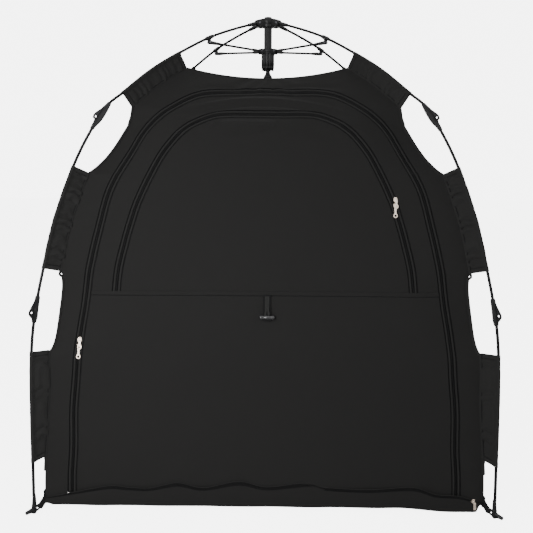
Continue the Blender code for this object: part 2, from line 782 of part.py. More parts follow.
def door_panel(facing):
    """The door: an arch between its two zips above the seam, and one width of cloth below it."""
    seam_z = SEAM_Z - SEAM_GAP
    line = arch(DOOR_ZIP, -ZIP_HALF - SEAM_GAP, BELOW, ABOVE)
    upper = with_foot(line[BELOW:-BELOW], seam_z)
    inner = arch(WINDOW_ZIP, ZIP_HALF + SEAM_GAP, 0, ABOVE)
    inner = with_foot(inner, seam_z)
    bm = grid(between(upper, inner, 2))

    top = [p[0] for p in straight(upper[0], inner[0], 2)]
    top += [p[0] for p in straight(inner[0], inner[-1], 12)][1:]
    top += [p[0] for p in straight(inner[-1], upper[-1], 2)][1:]
    side = with_foot(line, FOOT_Z)[: BELOW + 1]
    side[-1] = (side[-1][0], seam_z)
    for (wide, z), (next_wide, next_z) in zip(side, side[1:]):
        rows = [
            [front_point(x * w / side[-1][0], height) for x in top]
            for w, height in ((next_wide, next_z), (wide, z))
        ]
        strip = grid(rows)
        mesh = bpy.data.meshes.new("strip")
        strip.to_mesh(mesh)
        strip.free()
        bm.from_mesh(mesh)
        bpy.data.meshes.remove(mesh)
    sheet("door_panel", bm, "cover_cloth", facing=facing)


def roof():
    r, z = corner_at(KNOT[ROOF_CORNER])
    inset = 0.0028
    half_x, half_y = r * COS - inset, r * SIN - inset
    centre = KNOB_BASE - GAP - (z - EDGE_SAG)
    rows = []
    for j in range(9):
        row = []
        for i in range(9):
            u, v = i / 4 - 1, j / 4 - 1
            x, y = u * half_x, v * half_y
            lift = centre * math.exp(-((x * x + y * y) / 0.075**2))
            row.append(Vector((x, y, z + 0.0003 - EDGE_SAG * (1 - u * u * v * v) + lift)))
        rows.append(row)
    sheet("roof", grid(rows), "cover_cloth", facing=(0, 0, 1))


def outline_at(z, inset=0.0):
    """The cover's plan at this height, from the middle of the rear and once round."""
    r, _ = corner_at(length_at_height(z))
    x, y = r * COS - inset, r * SIN - inset
    turn = 0.010
    points = []
    for sx, sy, first in ((1, 1, 90), (1, -1, 0), (-1, -1, -90), (-1, 1, -180)):
        for k in range(4):
            a = math.radians(first - 30 * k)
            points.append(Vector((sx * (x - turn) + turn * math.cos(a), sy * (y - turn) + turn * math.sin(a), z)))
    return points


def hem():
    """The band round the cover's foot, with a webbing strap to each foot's hook."""
    heights = [HEM_TOP, 0.041, HEM_BASE]
    band = thick(grid([outline_at(z, 0.0012) for z in heights], closed=True), CLOTH)
    pieces = [band]
    foot_r = LEG_LINE[-1][0]
    for corner in QUADRANTS:
        r, _ = corner_at(length_at_height(HEM_BASE + 0.01))
        start = in_leg_plane(corner, r - 0.012, 0.030)
        end = in_leg_plane(corner, foot_r - 0.0155, 0.0165)
        run = end - start
        matrix = Matrix.Translation((start + end) / 2) @ frame_of(run, in_leg_plane(corner, 0, 0, 1))
        pieces.append(block((0.014, 0.0022, run.length), matrix))
    add("hem_band", joined("hem_band", pieces), "cover_cloth")


def on_front(x, z):
    """A frame on the front wall: X to the right, Y down the cloth, Z out of it."""
    here = front_point(x, z)
    down = (front_point(x, z - 0.03) - front_point(x, z + 0.03)).normalized()
    right = (front_point(x + 0.02, z) - front_point(x - 0.02, z)).normalized()
    out = down.cross(right).normalized()
    if out.y > 0:
        out = -out
    right = down.cross(out)
    return Matrix.Translation(here) @ Matrix((right, down, out)).transposed().to_4x4()


def small_pieces():
    """The toggle under the seam and the zip pulls."""
    place = on_front(0.0, SEAM_Z - 0.033)
    strap = block((0.018, 0.062, 0.002), place @ Matrix.Translation((0, 0, 0.0013 + GAP)))
    bar = tube_between(place @ Vector((-0.018, 0.027, 0.0066)), place @ Vector((0.018, 0.027, 0.0066)), 0.0048, 10)
    add("window_toggle", joined("window_toggle", [strap, bar]), "webbing")
    zip_pull("window_zip_pulls", on_front(0.364, 0.826))
    zip_pull("door_zip_pulls", on_front(-0.507, 0.440))
    r, _ = corner_at(length_at_height(0.036))
    turn = Matrix(((-1, 0, 0), (0, 0, -1), (0, -1, 0))).to_4x4()
    place = Matrix.Translation((0.567, -r * SIN + 0.0002, 0.036)) @ turn
    head = block((0.012, 0.014, 0.004), place @ Matrix.Translation((0, 0, 0.0022 + GAP)))
    plate = block((0.008, 0.024, 0.002), place @ Matrix.Translation((0, 0.0135, 0.0034)))
    add("base_zip_pull", joined("base_zip_pull", [head, plate]), "pull_metal")


def zip_pull(name, place):
    """Two sliders that meet, with their long plates hanging side by side."""
    pieces = [block((0.013, 0.020, 0.004), place @ Matrix.Translation((0, -0.026, 0.0022 + GAP)))]
    for side in (-1, 1):
        shift = Matrix.Translation((side * 0.0035, 0, 0.0032 + side * 0.0004))
        pieces.append(block((0.0085, 0.055, 0.0022), place @ shift))
    add(name, joined(name, pieces), "pull_metal")


def cover():
    roof()
    front()
    wall("rear_wall", "rear")
    wall("left_wall", "left")
    wall("right_wall", "right")
    hem()
    small_pieces()


for leftover in list(bpy.data.objects):
    bpy.data.objects.remove(leftover)
PARTS = new_collection("baby_sleep_tent")
hub()
legs()
cover()
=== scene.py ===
"""The look of a pop-up sleep tent for a travel cot: dark zipped cloth on four folding legs under an umbrella hub.

Metres, +Z up, the door towards -Y. The cover's shape repeats the CAD's own lines, at cloth thickness.
"""

import math

import bmesh
import bpy
import numpy as np
from mathutils import Matrix, Vector


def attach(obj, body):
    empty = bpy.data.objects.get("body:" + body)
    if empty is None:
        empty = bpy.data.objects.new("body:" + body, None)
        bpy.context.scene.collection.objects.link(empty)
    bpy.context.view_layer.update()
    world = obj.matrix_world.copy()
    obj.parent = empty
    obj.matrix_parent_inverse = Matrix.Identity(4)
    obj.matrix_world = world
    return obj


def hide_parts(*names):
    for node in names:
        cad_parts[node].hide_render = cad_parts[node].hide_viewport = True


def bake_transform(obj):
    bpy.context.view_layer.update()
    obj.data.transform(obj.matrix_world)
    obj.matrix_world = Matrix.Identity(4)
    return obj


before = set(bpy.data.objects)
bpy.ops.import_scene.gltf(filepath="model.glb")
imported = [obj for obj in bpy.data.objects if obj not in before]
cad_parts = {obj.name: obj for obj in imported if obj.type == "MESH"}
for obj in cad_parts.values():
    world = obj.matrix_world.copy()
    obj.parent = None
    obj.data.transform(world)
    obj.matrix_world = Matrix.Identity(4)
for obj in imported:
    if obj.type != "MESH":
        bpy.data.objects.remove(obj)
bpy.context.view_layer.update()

# The leg's line seen side on, as (radius, height), and the direction of the front right foot
FOOT_X, FOOT_Y = 0.620, 0.496
LEG_LINE = [
    (0.040, 1.404),
    (0.135, 1.375),
    (0.233, 1.338),
    (0.341, 1.282),
    (0.439, 1.223),
    (0.534, 1.150),
    (0.582, 1.112),
    (0.633, 1.039),
    (0.685, 0.939),
    (0.739, 0.793),
    (0.771, 0.660),
    (0.787, 0.5845),
    (0.798, 0.513),
    (0.8035, 0.4376),
    (0.8035, 0.3246),
    (0.798, 0.138),
    (0.794, 0.0),
]
POLE_SEEN, STRUT_SEEN = 0.0042, 0.0037
CLOTH = 0.0009

# Cover
CORNER_DEPTH, HEM_DEPTH = 0.050, 0.032
HOLE_SPREAD, CORNER_ROOM = 0.16, 0.0006
EDGE_SAG, WALL_SAG = 0.033, 0.012
HEM_BASE, PANEL_FOOT, SEAM_Z = 0.018, 0.048, 0.586
ZIP_HALF = 0.013
KNOB_BASE = 1.2242
TOGGLE_X = 0.007

# Brightness of the white room: as it lights the tent, as it mirrors in it, and as the camera sees it
ROOM_LIGHT, ROOM_GLOSS, ROOM_SEEN, FLOOR_SEEN = 0.16, 1.1, 6.0, 5.6

# How far the cover's corner steps back beside each elbow, as (length along the leg, depth)
HOLES = [(0.545, 0.0), (0.557, 0.001), (0.566, 0.010), (0.578, 0.024), (0.597, 0.036), (0.628, 0.040)]
HOLES += [(0.672, 0.0415), (0.705, 0.0403), (0.730, 0.037), (0.755, 0.0325), (0.780, 0.0245)]
HOLES += [(0.800, 0.0165), (0.815, 0.008), (0.826, 0.001), (0.840, 0.0), (1.105, 0.0), (1.116, 0.001)]
HOLES += [(1.124, 0.006), (1.136, 0.0125), (1.160, 0.0185), (1.200, 0.022), (1.250, 0.023)]
HOLES += [(1.295, 0.021), (1.320, 0.0165), (1.338, 0.010), (1.350, 0.001), (1.362, 0.0)]

# Lengths along the leg: sleeves from end to end, and elbows
SLEEVE_1_END, UPPER_ELBOW, LOWER_ELBOW = 0.560, (0.612, 0.706), (1.190, 1.262)

# Zips on the front wall, as (distance from the middle, height), from the foot to the top
DOOR_ZIP = [(0.522, 0.048), (0.520, 0.207), (0.515, 0.375), (0.503, 0.484), (0.490, 0.605), (0.477, 0.682)]
DOOR_ZIP += [(0.464, 0.762), (0.445, 0.840), (0.424, 0.900), (0.387, 0.977), (0.343, 1.049), (0.286, 1.106)]
DOOR_ZIP += [(0.214, 1.145), (0.130, 1.158), (0.0, 1.161)]
WINDOW_ZIP = [(0.409, 0.586), (0.402, 0.670), (0.389, 0.730), (0.371, 0.790), (0.356, 0.842), (0.334, 0.900)]
WINDOW_ZIP += [(0.300, 0.963), (0.268, 1.010), (0.241, 1.042), (0.205, 1.067), (0.150, 1.086), (0.080, 1.090)]
WINDOW_ZIP += [(0.0, 1.090)]

# Height of the zip round the foot, along the front
BASE_ZIP = [(-0.60, 0.036), (-0.515, 0.052), (-0.421, 0.070), (-0.366, 0.066), (-0.309, 0.065), (-0.235, 0.080)]
BASE_ZIP += [(-0.164, 0.067), (-0.068, 0.085), (0.008, 0.071), (0.12, 0.083), (0.174, 0.071), (0.285, 0.066)]
BASE_ZIP += [(0.403, 0.073), (0.468, 0.055), (0.533, 0.050), (0.60, 0.030)]

QUADRANTS = {
    "front_left": (-1, -1),
    "front_right": (1, -1),
    "rear_left": (-1, 1),
    "rear_right": (1, 1),
}
PHI = math.atan2(FOOT_Y, FOOT_X)
COS, SIN = math.cos(PHI), math.sin(PHI)


# Curves


def catmull(points, each):
    """A smooth line through points, each stretch cut into equal steps."""
    points = np.array(points, float)
    padded = np.vstack([points[:1], points, points[-1:]])
    t = np.arange(each)[:, None] / each
    rows = []
    for a, b, c, d in zip(padded, padded[1:], padded[2:], padded[3:]):
        rows.append(
            ((-t + 2 * t**2 - t**3) * a + (2 - 5 * t**2 + 3 * t**3) * b)
            / 2
            + ((t + 4 * t**2 - 3 * t**3) * c + (t**3 - t**2) * d) / 2
        )
    return np.vstack([*rows, points[-1:]])


def lengths_along(line):
    steps = np.linalg.norm(np.diff(line, axis=0), axis=1)
    return np.concatenate([[0.0], np.cumsum(steps)])


LEG = catmull(LEG_LINE, 12)
ARC = lengths_along(LEG)
KNOT = ARC[::12]
TURN = np.diff(LEG, axis=0)
TURN /= np.linalg.norm(TURN, axis=1)[:, None]
MIDDLE = (ARC[1:] + ARC[:-1]) / 2


def leg_at(s):
    """Radius, height and direction of the leg's line at lengths from its pivot."""
    s = np.clip(s, 0, ARC[-1])
    return (
        np.interp(s, ARC, LEG[:, 0]),
        np.interp(s, ARC, LEG[:, 1]),
        np.interp(s, MIDDLE, TURN[:, 0]),
        np.interp(s, MIDDLE, TURN[:, 1]),
    )


def ramp(low, high, value):
    t = np.clip((value - low) / (high - low), 0.0, 1.0)
    return t * t * (3 - 2 * t)


def bump(middle, width, value):
    return np.exp(-(((value - middle) / width) ** 2))


def corner_at(s):
    """The cover's corner in the leg's plane."""
    r, z, tr, tz = leg_at(s)
    depth = CORNER_DEPTH - (CORNER_DEPTH - HEM_DEPTH) * ramp(KNOT[14], KNOT[15] + 0.08, s)
    return r + depth * tz, z - depth * tr


# The struts' pivots in a leg's plane: under the arm's bracket, and between the grip's ears
STRUT_OUTER = (LEG_LINE[2][0], LEG_LINE[2][1] - 0.015)
STRUT_INNER = (0.030, 1.312)

HEIGHTS = np.linspace(KNOT[3], ARC[-1], 900)
CORNER_Z = corner_at(HEIGHTS)[1]


def length_at_height(z):
    return np.interp(-np.asarray(z, float), -CORNER_Z, HEIGHTS)


HOLE_LINE = catmull(HOLES, 8)


def hole_depth(s):
    """How far the wall's edge steps back beside an elbow."""
    return np.clip(np.interp(s, HOLE_LINE[:, 0], HOLE_LINE[:, 1]), 0, None)


# The walls: a point by its place across (-1 to 1) and its length along the leg


def share(side):
    return (COS, SIN) if side in ("front", "rear") else (SIN, COS)


def edge_across(s, side):
    half = corner_at(s)[0] * share(side)[0]
    tz = leg_at(s)[3]
    return 1 - (CORNER_ROOM - tz * hole_depth(s) * share(side)[0]) / half


def wall_point(side, across, s):
    r, z = corner_at(s)
    _, _, tr, tz = leg_at(s)
    wide, deep = share(side)
    bow = 1 - across * across
    z = z - EDGE_SAG * bow * (1 - ramp(KNOT[3], KNOT[8], s))
    inward = WALL_SAG * bow * ramp(KNOT[3], KNOT[8], s) * (1 - ramp(KNOT[14], KNOT[16], s))
    edge = edge_across(s, side)
    pull = hole_depth(s) * ramp(edge - HOLE_SPREAD / (r * wide), edge, np.abs(across))
    inward = inward - tz * pull * deep
    z = z - tr * pull
    x, y = across * r * wide, r * deep - inward
    return np.stack(turn_to(side, x, y, z), axis=-1)


def turn_to(side, x, y, z):
    """From (along the wall, out of it, up) to the row's frame."""
    return {
        "front": (x, -y, z),
        "rear": (-x, y, z),
        "left": (-y, -x, z),
        "right": (y, x, z),
    }[side]


def wall_normal(side, across, s):
    e = 0.004
    du = wall_point(side, across + e, s) - wall_point(side, across - e, s)
    ds = wall_point(side, across, s + e) - wall_point(side, across, s - e)
    n = np.cross(ds, du)
    out = np.array(turn_to(side, 0.0, 1.0, 0.35))
    n *= np.sign(n @ out)[..., None]
    return n / np.linalg.norm(n, axis=-1)[..., None]


def front_place(x, z):
    """(across, s) of the front wall's points at these distances and heights."""
    x, z = np.broadcast_arrays(np.asarray(x, float), np.asarray(z, float))
    low, high = np.full(x.shape, KNOT[3] - 0.02), np.full(x.shape, ARC[-1])
    for _ in range(26):
        s = (low + high) / 2
        across = np.clip(x / (corner_at(s)[0] * COS), -1, 1)
        above = wall_point("front", across, s)[..., 2] > z
        low, high = np.where(above, s, low), np.where(above, high, s)
    return across, s


# Folds and creases, as heights out of the cloth


def ripple(a, b, size, seed):
    """Slow uneven waves between about -1 and 1."""
    p, q = a / size, b / size
    total = np.sin(p * 1.3 + seed) * np.cos(q * 1.1 - seed * 1.7)
    total = total + 0.6 * np.sin(p * 2.1 - q * 1.7 + seed * 2.3)
    return (total + 0.4 * np.cos(p * 3.7 + q * 2.9 + seed * 0.9)) / 2


def base_zip_height(side, x):
    """Height of the zip round the foot."""
    if side == "front":
        line = catmull(BASE_ZIP, 8)
        return np.interp(x, line[:, 0], line[:, 1])
    wave = 0.062 + 0.007 * np.sin(x * 21 + (3 if side == "rear" else 1)) + 0.004 * np.sin(x * 47)
    ends = 0.052 if side != "right" else 0.045
    return wave + (ends - wave) * ramp(0.72, 0.98, np.abs(x) / (0.60 if side == "rear" else 0.48))


def hem_low(x, wide):
    """Height of the hem's lower edge, which the straps pull up at the corners."""
    near = ramp(0.022, 0.008, wide - np.abs(x)) * np.where(x > 0, 1.0, 0.35)
    droop = 0.009 * ramp(0.36, 0.52, x) * ramp(0.010, 0.022, wide - np.abs(x))
    return HEM_BASE + 0.013 * near - droop + 0.0005 * np.sin(x * 34 + 1) * (1 - near)


def settle(x, z, wide):
    """Moves a wall's lowest cloth to just above the hem's lower edge."""
    foot = hem_low(x, wide) + 0.004
    return np.where(z < 0.09, foot + (z - PANEL_FOOT) * (0.09 - foot) / (0.09 - PANEL_FOOT), z)


def edge_fade(side, s, across):
    """Folds die out where the cloth is sewn to the corner."""
    wide = corner_at(s)[0] * share(side)[0]
    beside_roof = ramp(-0.002, 0.010, s - KNOT[3])
    return ramp(0.0, 0.012, (edge_across(s, side) - np.abs(across)) * wide) * beside_roof


def edge_gathers(side, x, z, s, across):
    """Little creases that run in from the sewn corner, where the sleeves pull."""
    edge = edge_across(s, side)
    wide = corner_at(s)[0] * share(side)[0]
    near = np.exp(-np.clip((edge - np.abs(across)) * wide, 0, 1) / 0.05)
    first = 1 - ramp(KNOT[5], KNOT[6], s)
    second = ramp(KNOT[7], KNOT[8], s) * (1 - ramp(KNOT[10], KNOT[11], s))
    third = ramp(KNOT[12], KNOT[13], s)
    phase = s * 260 + 2.5 * np.sin(s * 37 + np.sign(across) * 1.3) + np.abs(across) * 9
    height = 0.0012 * first + 0.0011 * second + 0.0007 * third
    return near * height * (np.sin(phase) + 0.5 * np.sin(phase * 0.43 + 1.1))


def crescents(x, z):
    """Sagging folds under the tops of the two zips, left of the middle for the most part."""
    total = np.zeros(np.shape(x))
    for middle, top, half, drop, width, high in (
        (-0.020, 1.136, 0.30, 0.058, 0.0062, 0.0050),
        (-0.010, 1.118, 0.24, 0.045, 0.0054, -0.0038),
        (-0.060, 1.066, 0.24, 0.050, 0.0062, 0.0058),
        (0.020, 1.050, 0.20, 0.038, 0.0054, -0.0040),
        (-0.020, 1.034, 0.16, 0.020, 0.0060, 0.0024),
        (0.220, 1.060, 0.10, 0.060, 0.0052, 0.0026),
        (-0.150, 1.176, 0.10, 0.020, 0.0060, -0.0030),
        (0.130, 1.178, 0.14, 0.012, 0.0060, -0.0034),
    ):
        t = (x - middle) / half
        line = top - drop * t * t
        fade = np.clip(1 - t * t, 0, 1)
        total = total + high * fade * bump(0, 1, (z - line) / width)
    turn = np.arctan2(x, KNOB_BASE - z)
    rays = bump(0, 0.16, np.hypot(x, KNOB_BASE - z)) * ramp(1.14, 1.17, z)
    return total + 0.0020 * rays * np.sin(turn * 13 + 0.8 * np.sin(turn * 5))


def front_relief(x, z):
    across, s = front_place(x, z)
    total = 0.0012 * ripple(x, z, 0.16, 0.4) + 0.0008 * ripple(x, z, 0.07, 2.1)
    total = total + edge_gathers("front", x, z, s, across) + crescents(x, z)
    near_foot = bump(0.0, 0.045, z - base_zip_height("front", x))
    total = total + 0.0024 * near_foot * np.sin((base_zip_height("front", x) - 0.066) * 150)
    return total * edge_fade("front", s, across)


def side_relief(side, across, s):
    p = wall_point(side, across, s)
    x = p[..., 0] if side == "rear" else p[..., 1]
    z = p[..., 2]
    seed = {"rear": 5.0, "left": 1.5, "right": 3.1}[side]
    total = 0.0018 * ripple(x, z, 0.15, seed) + 0.0010 * ripple(x, z, 0.06, seed + 1)
    total = total + edge_gathers(side, x, z, s, across)
    for middle, lean, high in ((0.62, 0.10, 0.0030), (0.38, -0.14, 0.0024), (0.95, 0.20, 0.0022)):
        line = middle + lean * (x + 0.1 * np.sin(seed + middle * 9))
        total = total + high * bump(0, 1, (z - line) / 0.016) * ramp(0.06, 0.2, np.abs(x))
    if side == "right":
        total = total + 0.0045 * bump(0.13, 0.09, z) * bump(-0.40, 0.13, x) * (1 + 0.4 * np.sin(x * 190))
    return total * edge_fade(side, s, across)


# Mesh helpers


def new_object(name, mesh):
    obj = bpy.data.objects.new(name, mesh)
    bpy.context.scene.collection.objects.link(obj)
    return obj


class Shape:
    """Gathers vertices and faces, with a material for each group of faces."""

    def __init__(self):
        self.points, self.faces, self.looks, self.count = [], [], [], 0

    def add(self, points, faces, look):
        points = np.asarray(points, float).reshape(-1, 3)
        self.points.append(points)
        self.faces.extend([tuple(int(i) + self.count for i in face) for face in faces])
        self.looks.extend([look] * len(faces))
        self.count += len(points)

    def object(self, name, sharp=40):
        mesh = bpy.data.meshes.new(name)
        mesh.from_pydata(np.vstack(self.points).tolist(), [], self.faces)
        used = sorted(set(self.looks))
        for look in used:
            mesh.materials.append(LOOKS[look])
        mesh.polygons.foreach_set("material_index", [used.index(look) for look in self.looks])
        mesh.shade_smooth()
        mesh.set_sharp_from_angle(angle=math.radians(sharp))
        mesh.validate()
        return new_object(name, mesh)


def quads(rows, columns, flip=False, closed=False):
    """Faces of a grid of points, by index."""
    faces = []
    for i in range(rows - 1):
        for k in range(columns if closed else columns - 1):
            n = (k + 1) % columns
            face = (i * columns + k, i * columns + n, (i + 1) * columns + n, (i + 1) * columns + k)
            faces.append(face[::-1] if flip else face)
    return faces


def outward(outer, inner, faces):
    """The faces, turned so that they look away from the inner points."""
    a, b, c = (outer[[face[i] for face in faces]] for i in range(3))
    inner_a = inner[[face[0] for face in faces]]
    normal = np.cross(b - a, c - a)
    if np.sum(normal * (a - inner_a)) < 0:
        return [face[::-1] for face in faces]
    return faces


def shell(shape, outer, inner, look):
    """A closed sheet between two grids of points."""
    rows, columns = outer.shape[:2]
    top, under = outer.reshape(-1, 3), inner.reshape(-1, 3)
    faces = outward(top, under, quads(rows, columns))
    count = len(top)
    back = [tuple(i + count for i in face[::-1]) for face in faces]
    rim = [i for i in range(columns)]
    rim += [i * columns + columns - 1 for i in range(1, rows)]
    rim += [(rows - 1) * columns + i for i in range(columns - 2, -1, -1)]
    rim += [i * columns for i in range(rows - 2, 0, -1)]
    flipped = faces[0][0] == quads(rows, columns)[0][0]
    sides = []
    for a, b in zip(rim, rim[1:] + rim[:1]):
        face = (a, a + count, b + count, b)
        sides.append(face if flipped else face[::-1])
    shape.add(np.vstack([top, under]), faces + back + sides, look)
    a = np.linalg.norm(np.cross(outer[1:, :-1] - outer[:-1, :-1], outer[:-1, 1:] - outer[:-1, :-1]), axis=-1)
    return float(a.sum())


def lay(shape, place, normal, relief, look, thickness=CLOTH):
    """A closed cloth sheet on a surface, with its folds."""
    outer = place + normal * relief[..., None]
    return shell(shape, outer, outer - normal * thickness, look)


def on_front(x, z, lift=0.0, relief=True):
    """Points over the front wall and the directions out of it."""
    across, s = front_place(x, z)
    place, normal = wall_point("front", across, s), wall_normal("front", across, s)
    high = front_relief(x, z) + lift if relief else lift + np.zeros(np.shape(x))
    return place + normal * np.asarray(high)[..., None], normal


def sweep(shape, path, out, profile, look, closed_path=False):
    """A profile of (across, lift) points carried along a path with its outward directions."""
    ahead = np.gradient(path, axis=0)
    ahead /= np.linalg.norm(ahead, axis=1)[:, None]
    across = np.cross(out, ahead)
    across /= np.linalg.norm(across, axis=1)[:, None]
    profile = np.array(profile, float)
    rows = path[:, None] + across[:, None] * profile[None, :, :1] + out[:, None] * profile[None, :, 1:]
    count = len(profile)
    faces = quads(len(path), count, closed=True)
    faces.append(tuple(range(count))[::-1])
    faces.append(tuple((len(path) - 1) * count + k for k in range(count)))
    area = sum(a[0] * b[1] - b[0] * a[1] for a, b in zip(profile, np.roll(profile, -1, axis=0)))
    if area < 0:
        faces = [face[::-1] for face in faces]
    shape.add(rows.reshape(-1, 3), faces, look)


def round_profile(radius, lift=0.0, sides=8, flat=1.0):
    turns = [2 * math.pi * k / sides for k in range(sides)]
    return [(radius * math.cos(a), lift + radius * flat * math.sin(a)) for a in turns]


def band_profile(half, high, base=-0.0004, edge=0.25):
    """A flat band with rounded shoulders."""
    return [
        (-half, base),
        (half, base),
        (half, high * 0.4),
        (half * (1 - edge), high),
        (-half * (1 - edge), high),
        (-half, high * 0.4),
    ]


def even(line, count):
    """Points at equal steps along a line, and how far along each one is."""
    lengths = lengths_along(line)
    at = np.linspace(0, lengths[-1], count)
    return np.stack([np.interp(at, lengths, line[:, n]) for n in range(line.shape[1])], axis=-1), at


def stitches(shape, path, out, look, pitch=0.0042, length=0.0028, radius=0.00042, side=0.0):
    """A row of thread ends, each a small pointed bead."""
    total = lengths_along(path)[-1]
    count = max(int(total / pitch), 2)
    lengths = lengths_along(path)
    at = np.linspace(pitch / 2, total - pitch / 2, count)
    place = np.stack([np.interp(at, lengths, path[:, n]) for n in range(3)], axis=-1)
    up = np.stack([np.interp(at, lengths, out[:, n]) for n in range(3)], axis=-1)
    ahead = np.stack([np.interp(at, lengths, np.gradient(path[:, n], lengths)) for n in range(3)], axis=-1)
    ahead /= np.linalg.norm(ahead, axis=1)[:, None]
    across = np.cross(up, ahead)
    place = place + across * side
    corners = [
        ahead * (-length / 2),
        ahead * (length / 2),
        across * radius,
        across * -radius,
        up * radius * 1.3,
        up * -radius,
    ]
    points = np.stack([place + c for c in corners], axis=1)
    one = [(0, 2, 4), (2, 1, 4), (1, 3, 4), (3, 0, 4), (2, 0, 5), (1, 2, 5), (3, 1, 5), (0, 3, 5)]
    faces = [tuple(6 * n + i for i in face) for n in range(count) for face in one]
    shape.add(points.reshape(-1, 3), faces, look)


# Materials


def noise(nodes, links, place, scale, detail=2.0, rough=0.5):
    made = nodes.new("ShaderNodeTexNoise")
    made.inputs["Scale"].default_value = scale
    made.inputs["Detail"].default_value = detail
    made.inputs["Roughness"].default_value = rough
    links.new(place, made.inputs["Vector"])
    return made.outputs["Fac"]


def mapped(nodes, links, value, low, high, to_low, to_high):
    made = nodes.new("ShaderNodeMapRange")
    for name, number in (("From Min", low), ("From Max", high), ("To Min", to_low), ("To Max", to_high)):
        made.inputs[name].default_value = number
    links.new(value, made.inputs["Value"])
    return made.outputs["Result"]


def math_node(nodes, links, kind, a, b=None):
    made = nodes.new("ShaderNodeMath")
    made.operation = kind
    for slot, value in enumerate((a, b)):
        if value is None:
            continue
        if isinstance(value, (int, float)):
            made.inputs[slot].default_value = value
        else:
            links.new(value, made.inputs[slot])
    return made.outputs["Value"]


def base_material(name, roughness, metallic=0.0, specular=0.5, sheen=0.0, coat=0.0):
    made = bpy.data.materials.new(name)
    made.use_nodes = True
    nodes, links = made.node_tree.nodes, made.node_tree.links
    shader = nodes["Principled BSDF"]
    shader.inputs["Metallic"].default_value = metallic
    shader.inputs["Specular IOR Level"].default_value = specular
    shader.inputs["Sheen Weight"].default_value = sheen
    shader.inputs["Sheen Roughness"].default_value = 0.45
    shader.inputs["Coat Weight"].default_value = coat
    shader.inputs["Roughness"].default_value = roughness
    place = nodes.new("ShaderNodeTexCoord").outputs["Object"]
    return made, nodes, links, shader, place


def colour_mix(nodes, links, factor, one, two):
    made = nodes.new("ShaderNodeMix")
    made.data_type = "RGBA"
    links.new(factor, made.inputs["Factor"])
    made.inputs["A"].default_value = (*one, 1)
    made.inputs["B"].default_value = (*two, 1)
    return made.outputs["Result"]


def weave_height(nodes, links, place, across, tilt):
    """The crossing of threads, from two sets of waves over the cloth."""
    turn = nodes.new("ShaderNodeMapping")
    turn.inputs["Rotation"].default_value = tilt
    links.new(place, turn.inputs["Vector"])
    found = []
    for direction in ("X", "Z"):
        wave = nodes.new("ShaderNodeTexWave")
        wave.bands_direction = direction
        wave.inputs["Scale"].default_value = across
        wave.inputs["Distortion"].default_value = 0.6
        wave.inputs["Detail"].default_value = 1.0
        wave.inputs["Detail Scale"].default_value = 2.0
        links.new(turn.outputs["Vector"], wave.inputs["Vector"])
        found.append(wave.outputs["Fac"])
    return math_node(nodes, links, "MULTIPLY", found[0], found[1])


def cloth_material(name, dark, light, roughness, threads, tilt=(0.0, 0.0, 0.0), sheen=0.06, soft=0.25):
    """Woven cloth: fine threads, slow shade changes, and faint rubbing."""
    made, nodes, links, shader, place = base_material(name, roughness, specular=0.10, sheen=sheen)
    weave = weave_height(nodes, links, place, threads, tilt)
    slow = noise(nodes, links, place, 5.0, 3.0)
    fine = noise(nodes, links, place, 240.0, 2.0, 0.7)
    shade = math_node(nodes, links, "ADD", math_node(nodes, links, "MULTIPLY", slow, 0.7), weave)
    shade = math_node(nodes, links, "ADD", shade, math_node(nodes, links, "MULTIPLY", fine, 0.35))
    shade = mapped(nodes, links, shade, 0.25, 1.15, 0.0, 1.0)
    links.new(colour_mix(nodes, links, shade, dark, light), shader.inputs["Base Color"])
    rough = mapped(nodes, links, slow, 0.3, 0.7, roughness - 0.07, roughness + 0.05)
    links.new(rough, shader.inputs["Roughness"])
    bump_node = nodes.new("ShaderNodeBump")
    bump_node.inputs["Strength"].default_value = soft
    bump_node.inputs["Distance"].default_value = 0.0004
    height = math_node(nodes, links, "ADD", weave, math_node(nodes, links, "MULTIPLY", fine, 0.5))
    links.new(height, bump_node.inputs["Height"])
    wrinkle = nodes.new("ShaderNodeBump")
    wrinkle.inputs["Strength"].default_value = 0.12
    wrinkle.inputs["Distance"].default_value = 0.004
    links.new(noise(nodes, links, place, 26.0, 3.0, 0.6), wrinkle.inputs["Height"])
    links.new(wrinkle.outputs["Normal"], bump_node.inputs["Normal"])
    links.new(bump_node.outputs["Normal"], shader.inputs["Normal"])
    return made


def hard_material(name, dark, light, roughness, grain, depth, metallic=0.0, coat=0.0, specular=0.5):
    """Moulded plastic, lacquered rod or plated metal, with grain and worn edges."""
    made, nodes, links, shader, place = base_material(name, roughness, metallic, specular, coat=coat)
    fine = noise(nodes, links, place, grain, 3.0, 0.6)
    slow = noise(nodes, links, place, 30.0, 2.0)
    shade = mapped(nodes, links, math_node(nodes, links, "ADD", fine, slow), 0.7, 1.35, 0.0, 1.0)
    geometry = nodes.new("ShaderNodeNewGeometry")
    edge = mapped(nodes, links, geometry.outputs["Pointiness"], 0.51, 0.60, 0.0, 0.5)
    shade = math_node(nodes, links, "ADD", shade, edge)
    links.new(colour_mix(nodes, links, shade, dark, light), shader.inputs["Base Color"])
    links.new(mapped(nodes, links, slow, 0.3, 0.7, roughness - 0.06, roughness + 0.08), shader.inputs["Roughness"])
    bump_node = nodes.new("ShaderNodeBump")
    bump_node.inputs["Strength"].default_value = 0.3
    bump_node.inputs["Distance"].default_value = depth
    links.new(fine, bump_node.inputs["Height"])
    links.new(bump_node.outputs["Normal"], shader.inputs["Normal"])
    return made


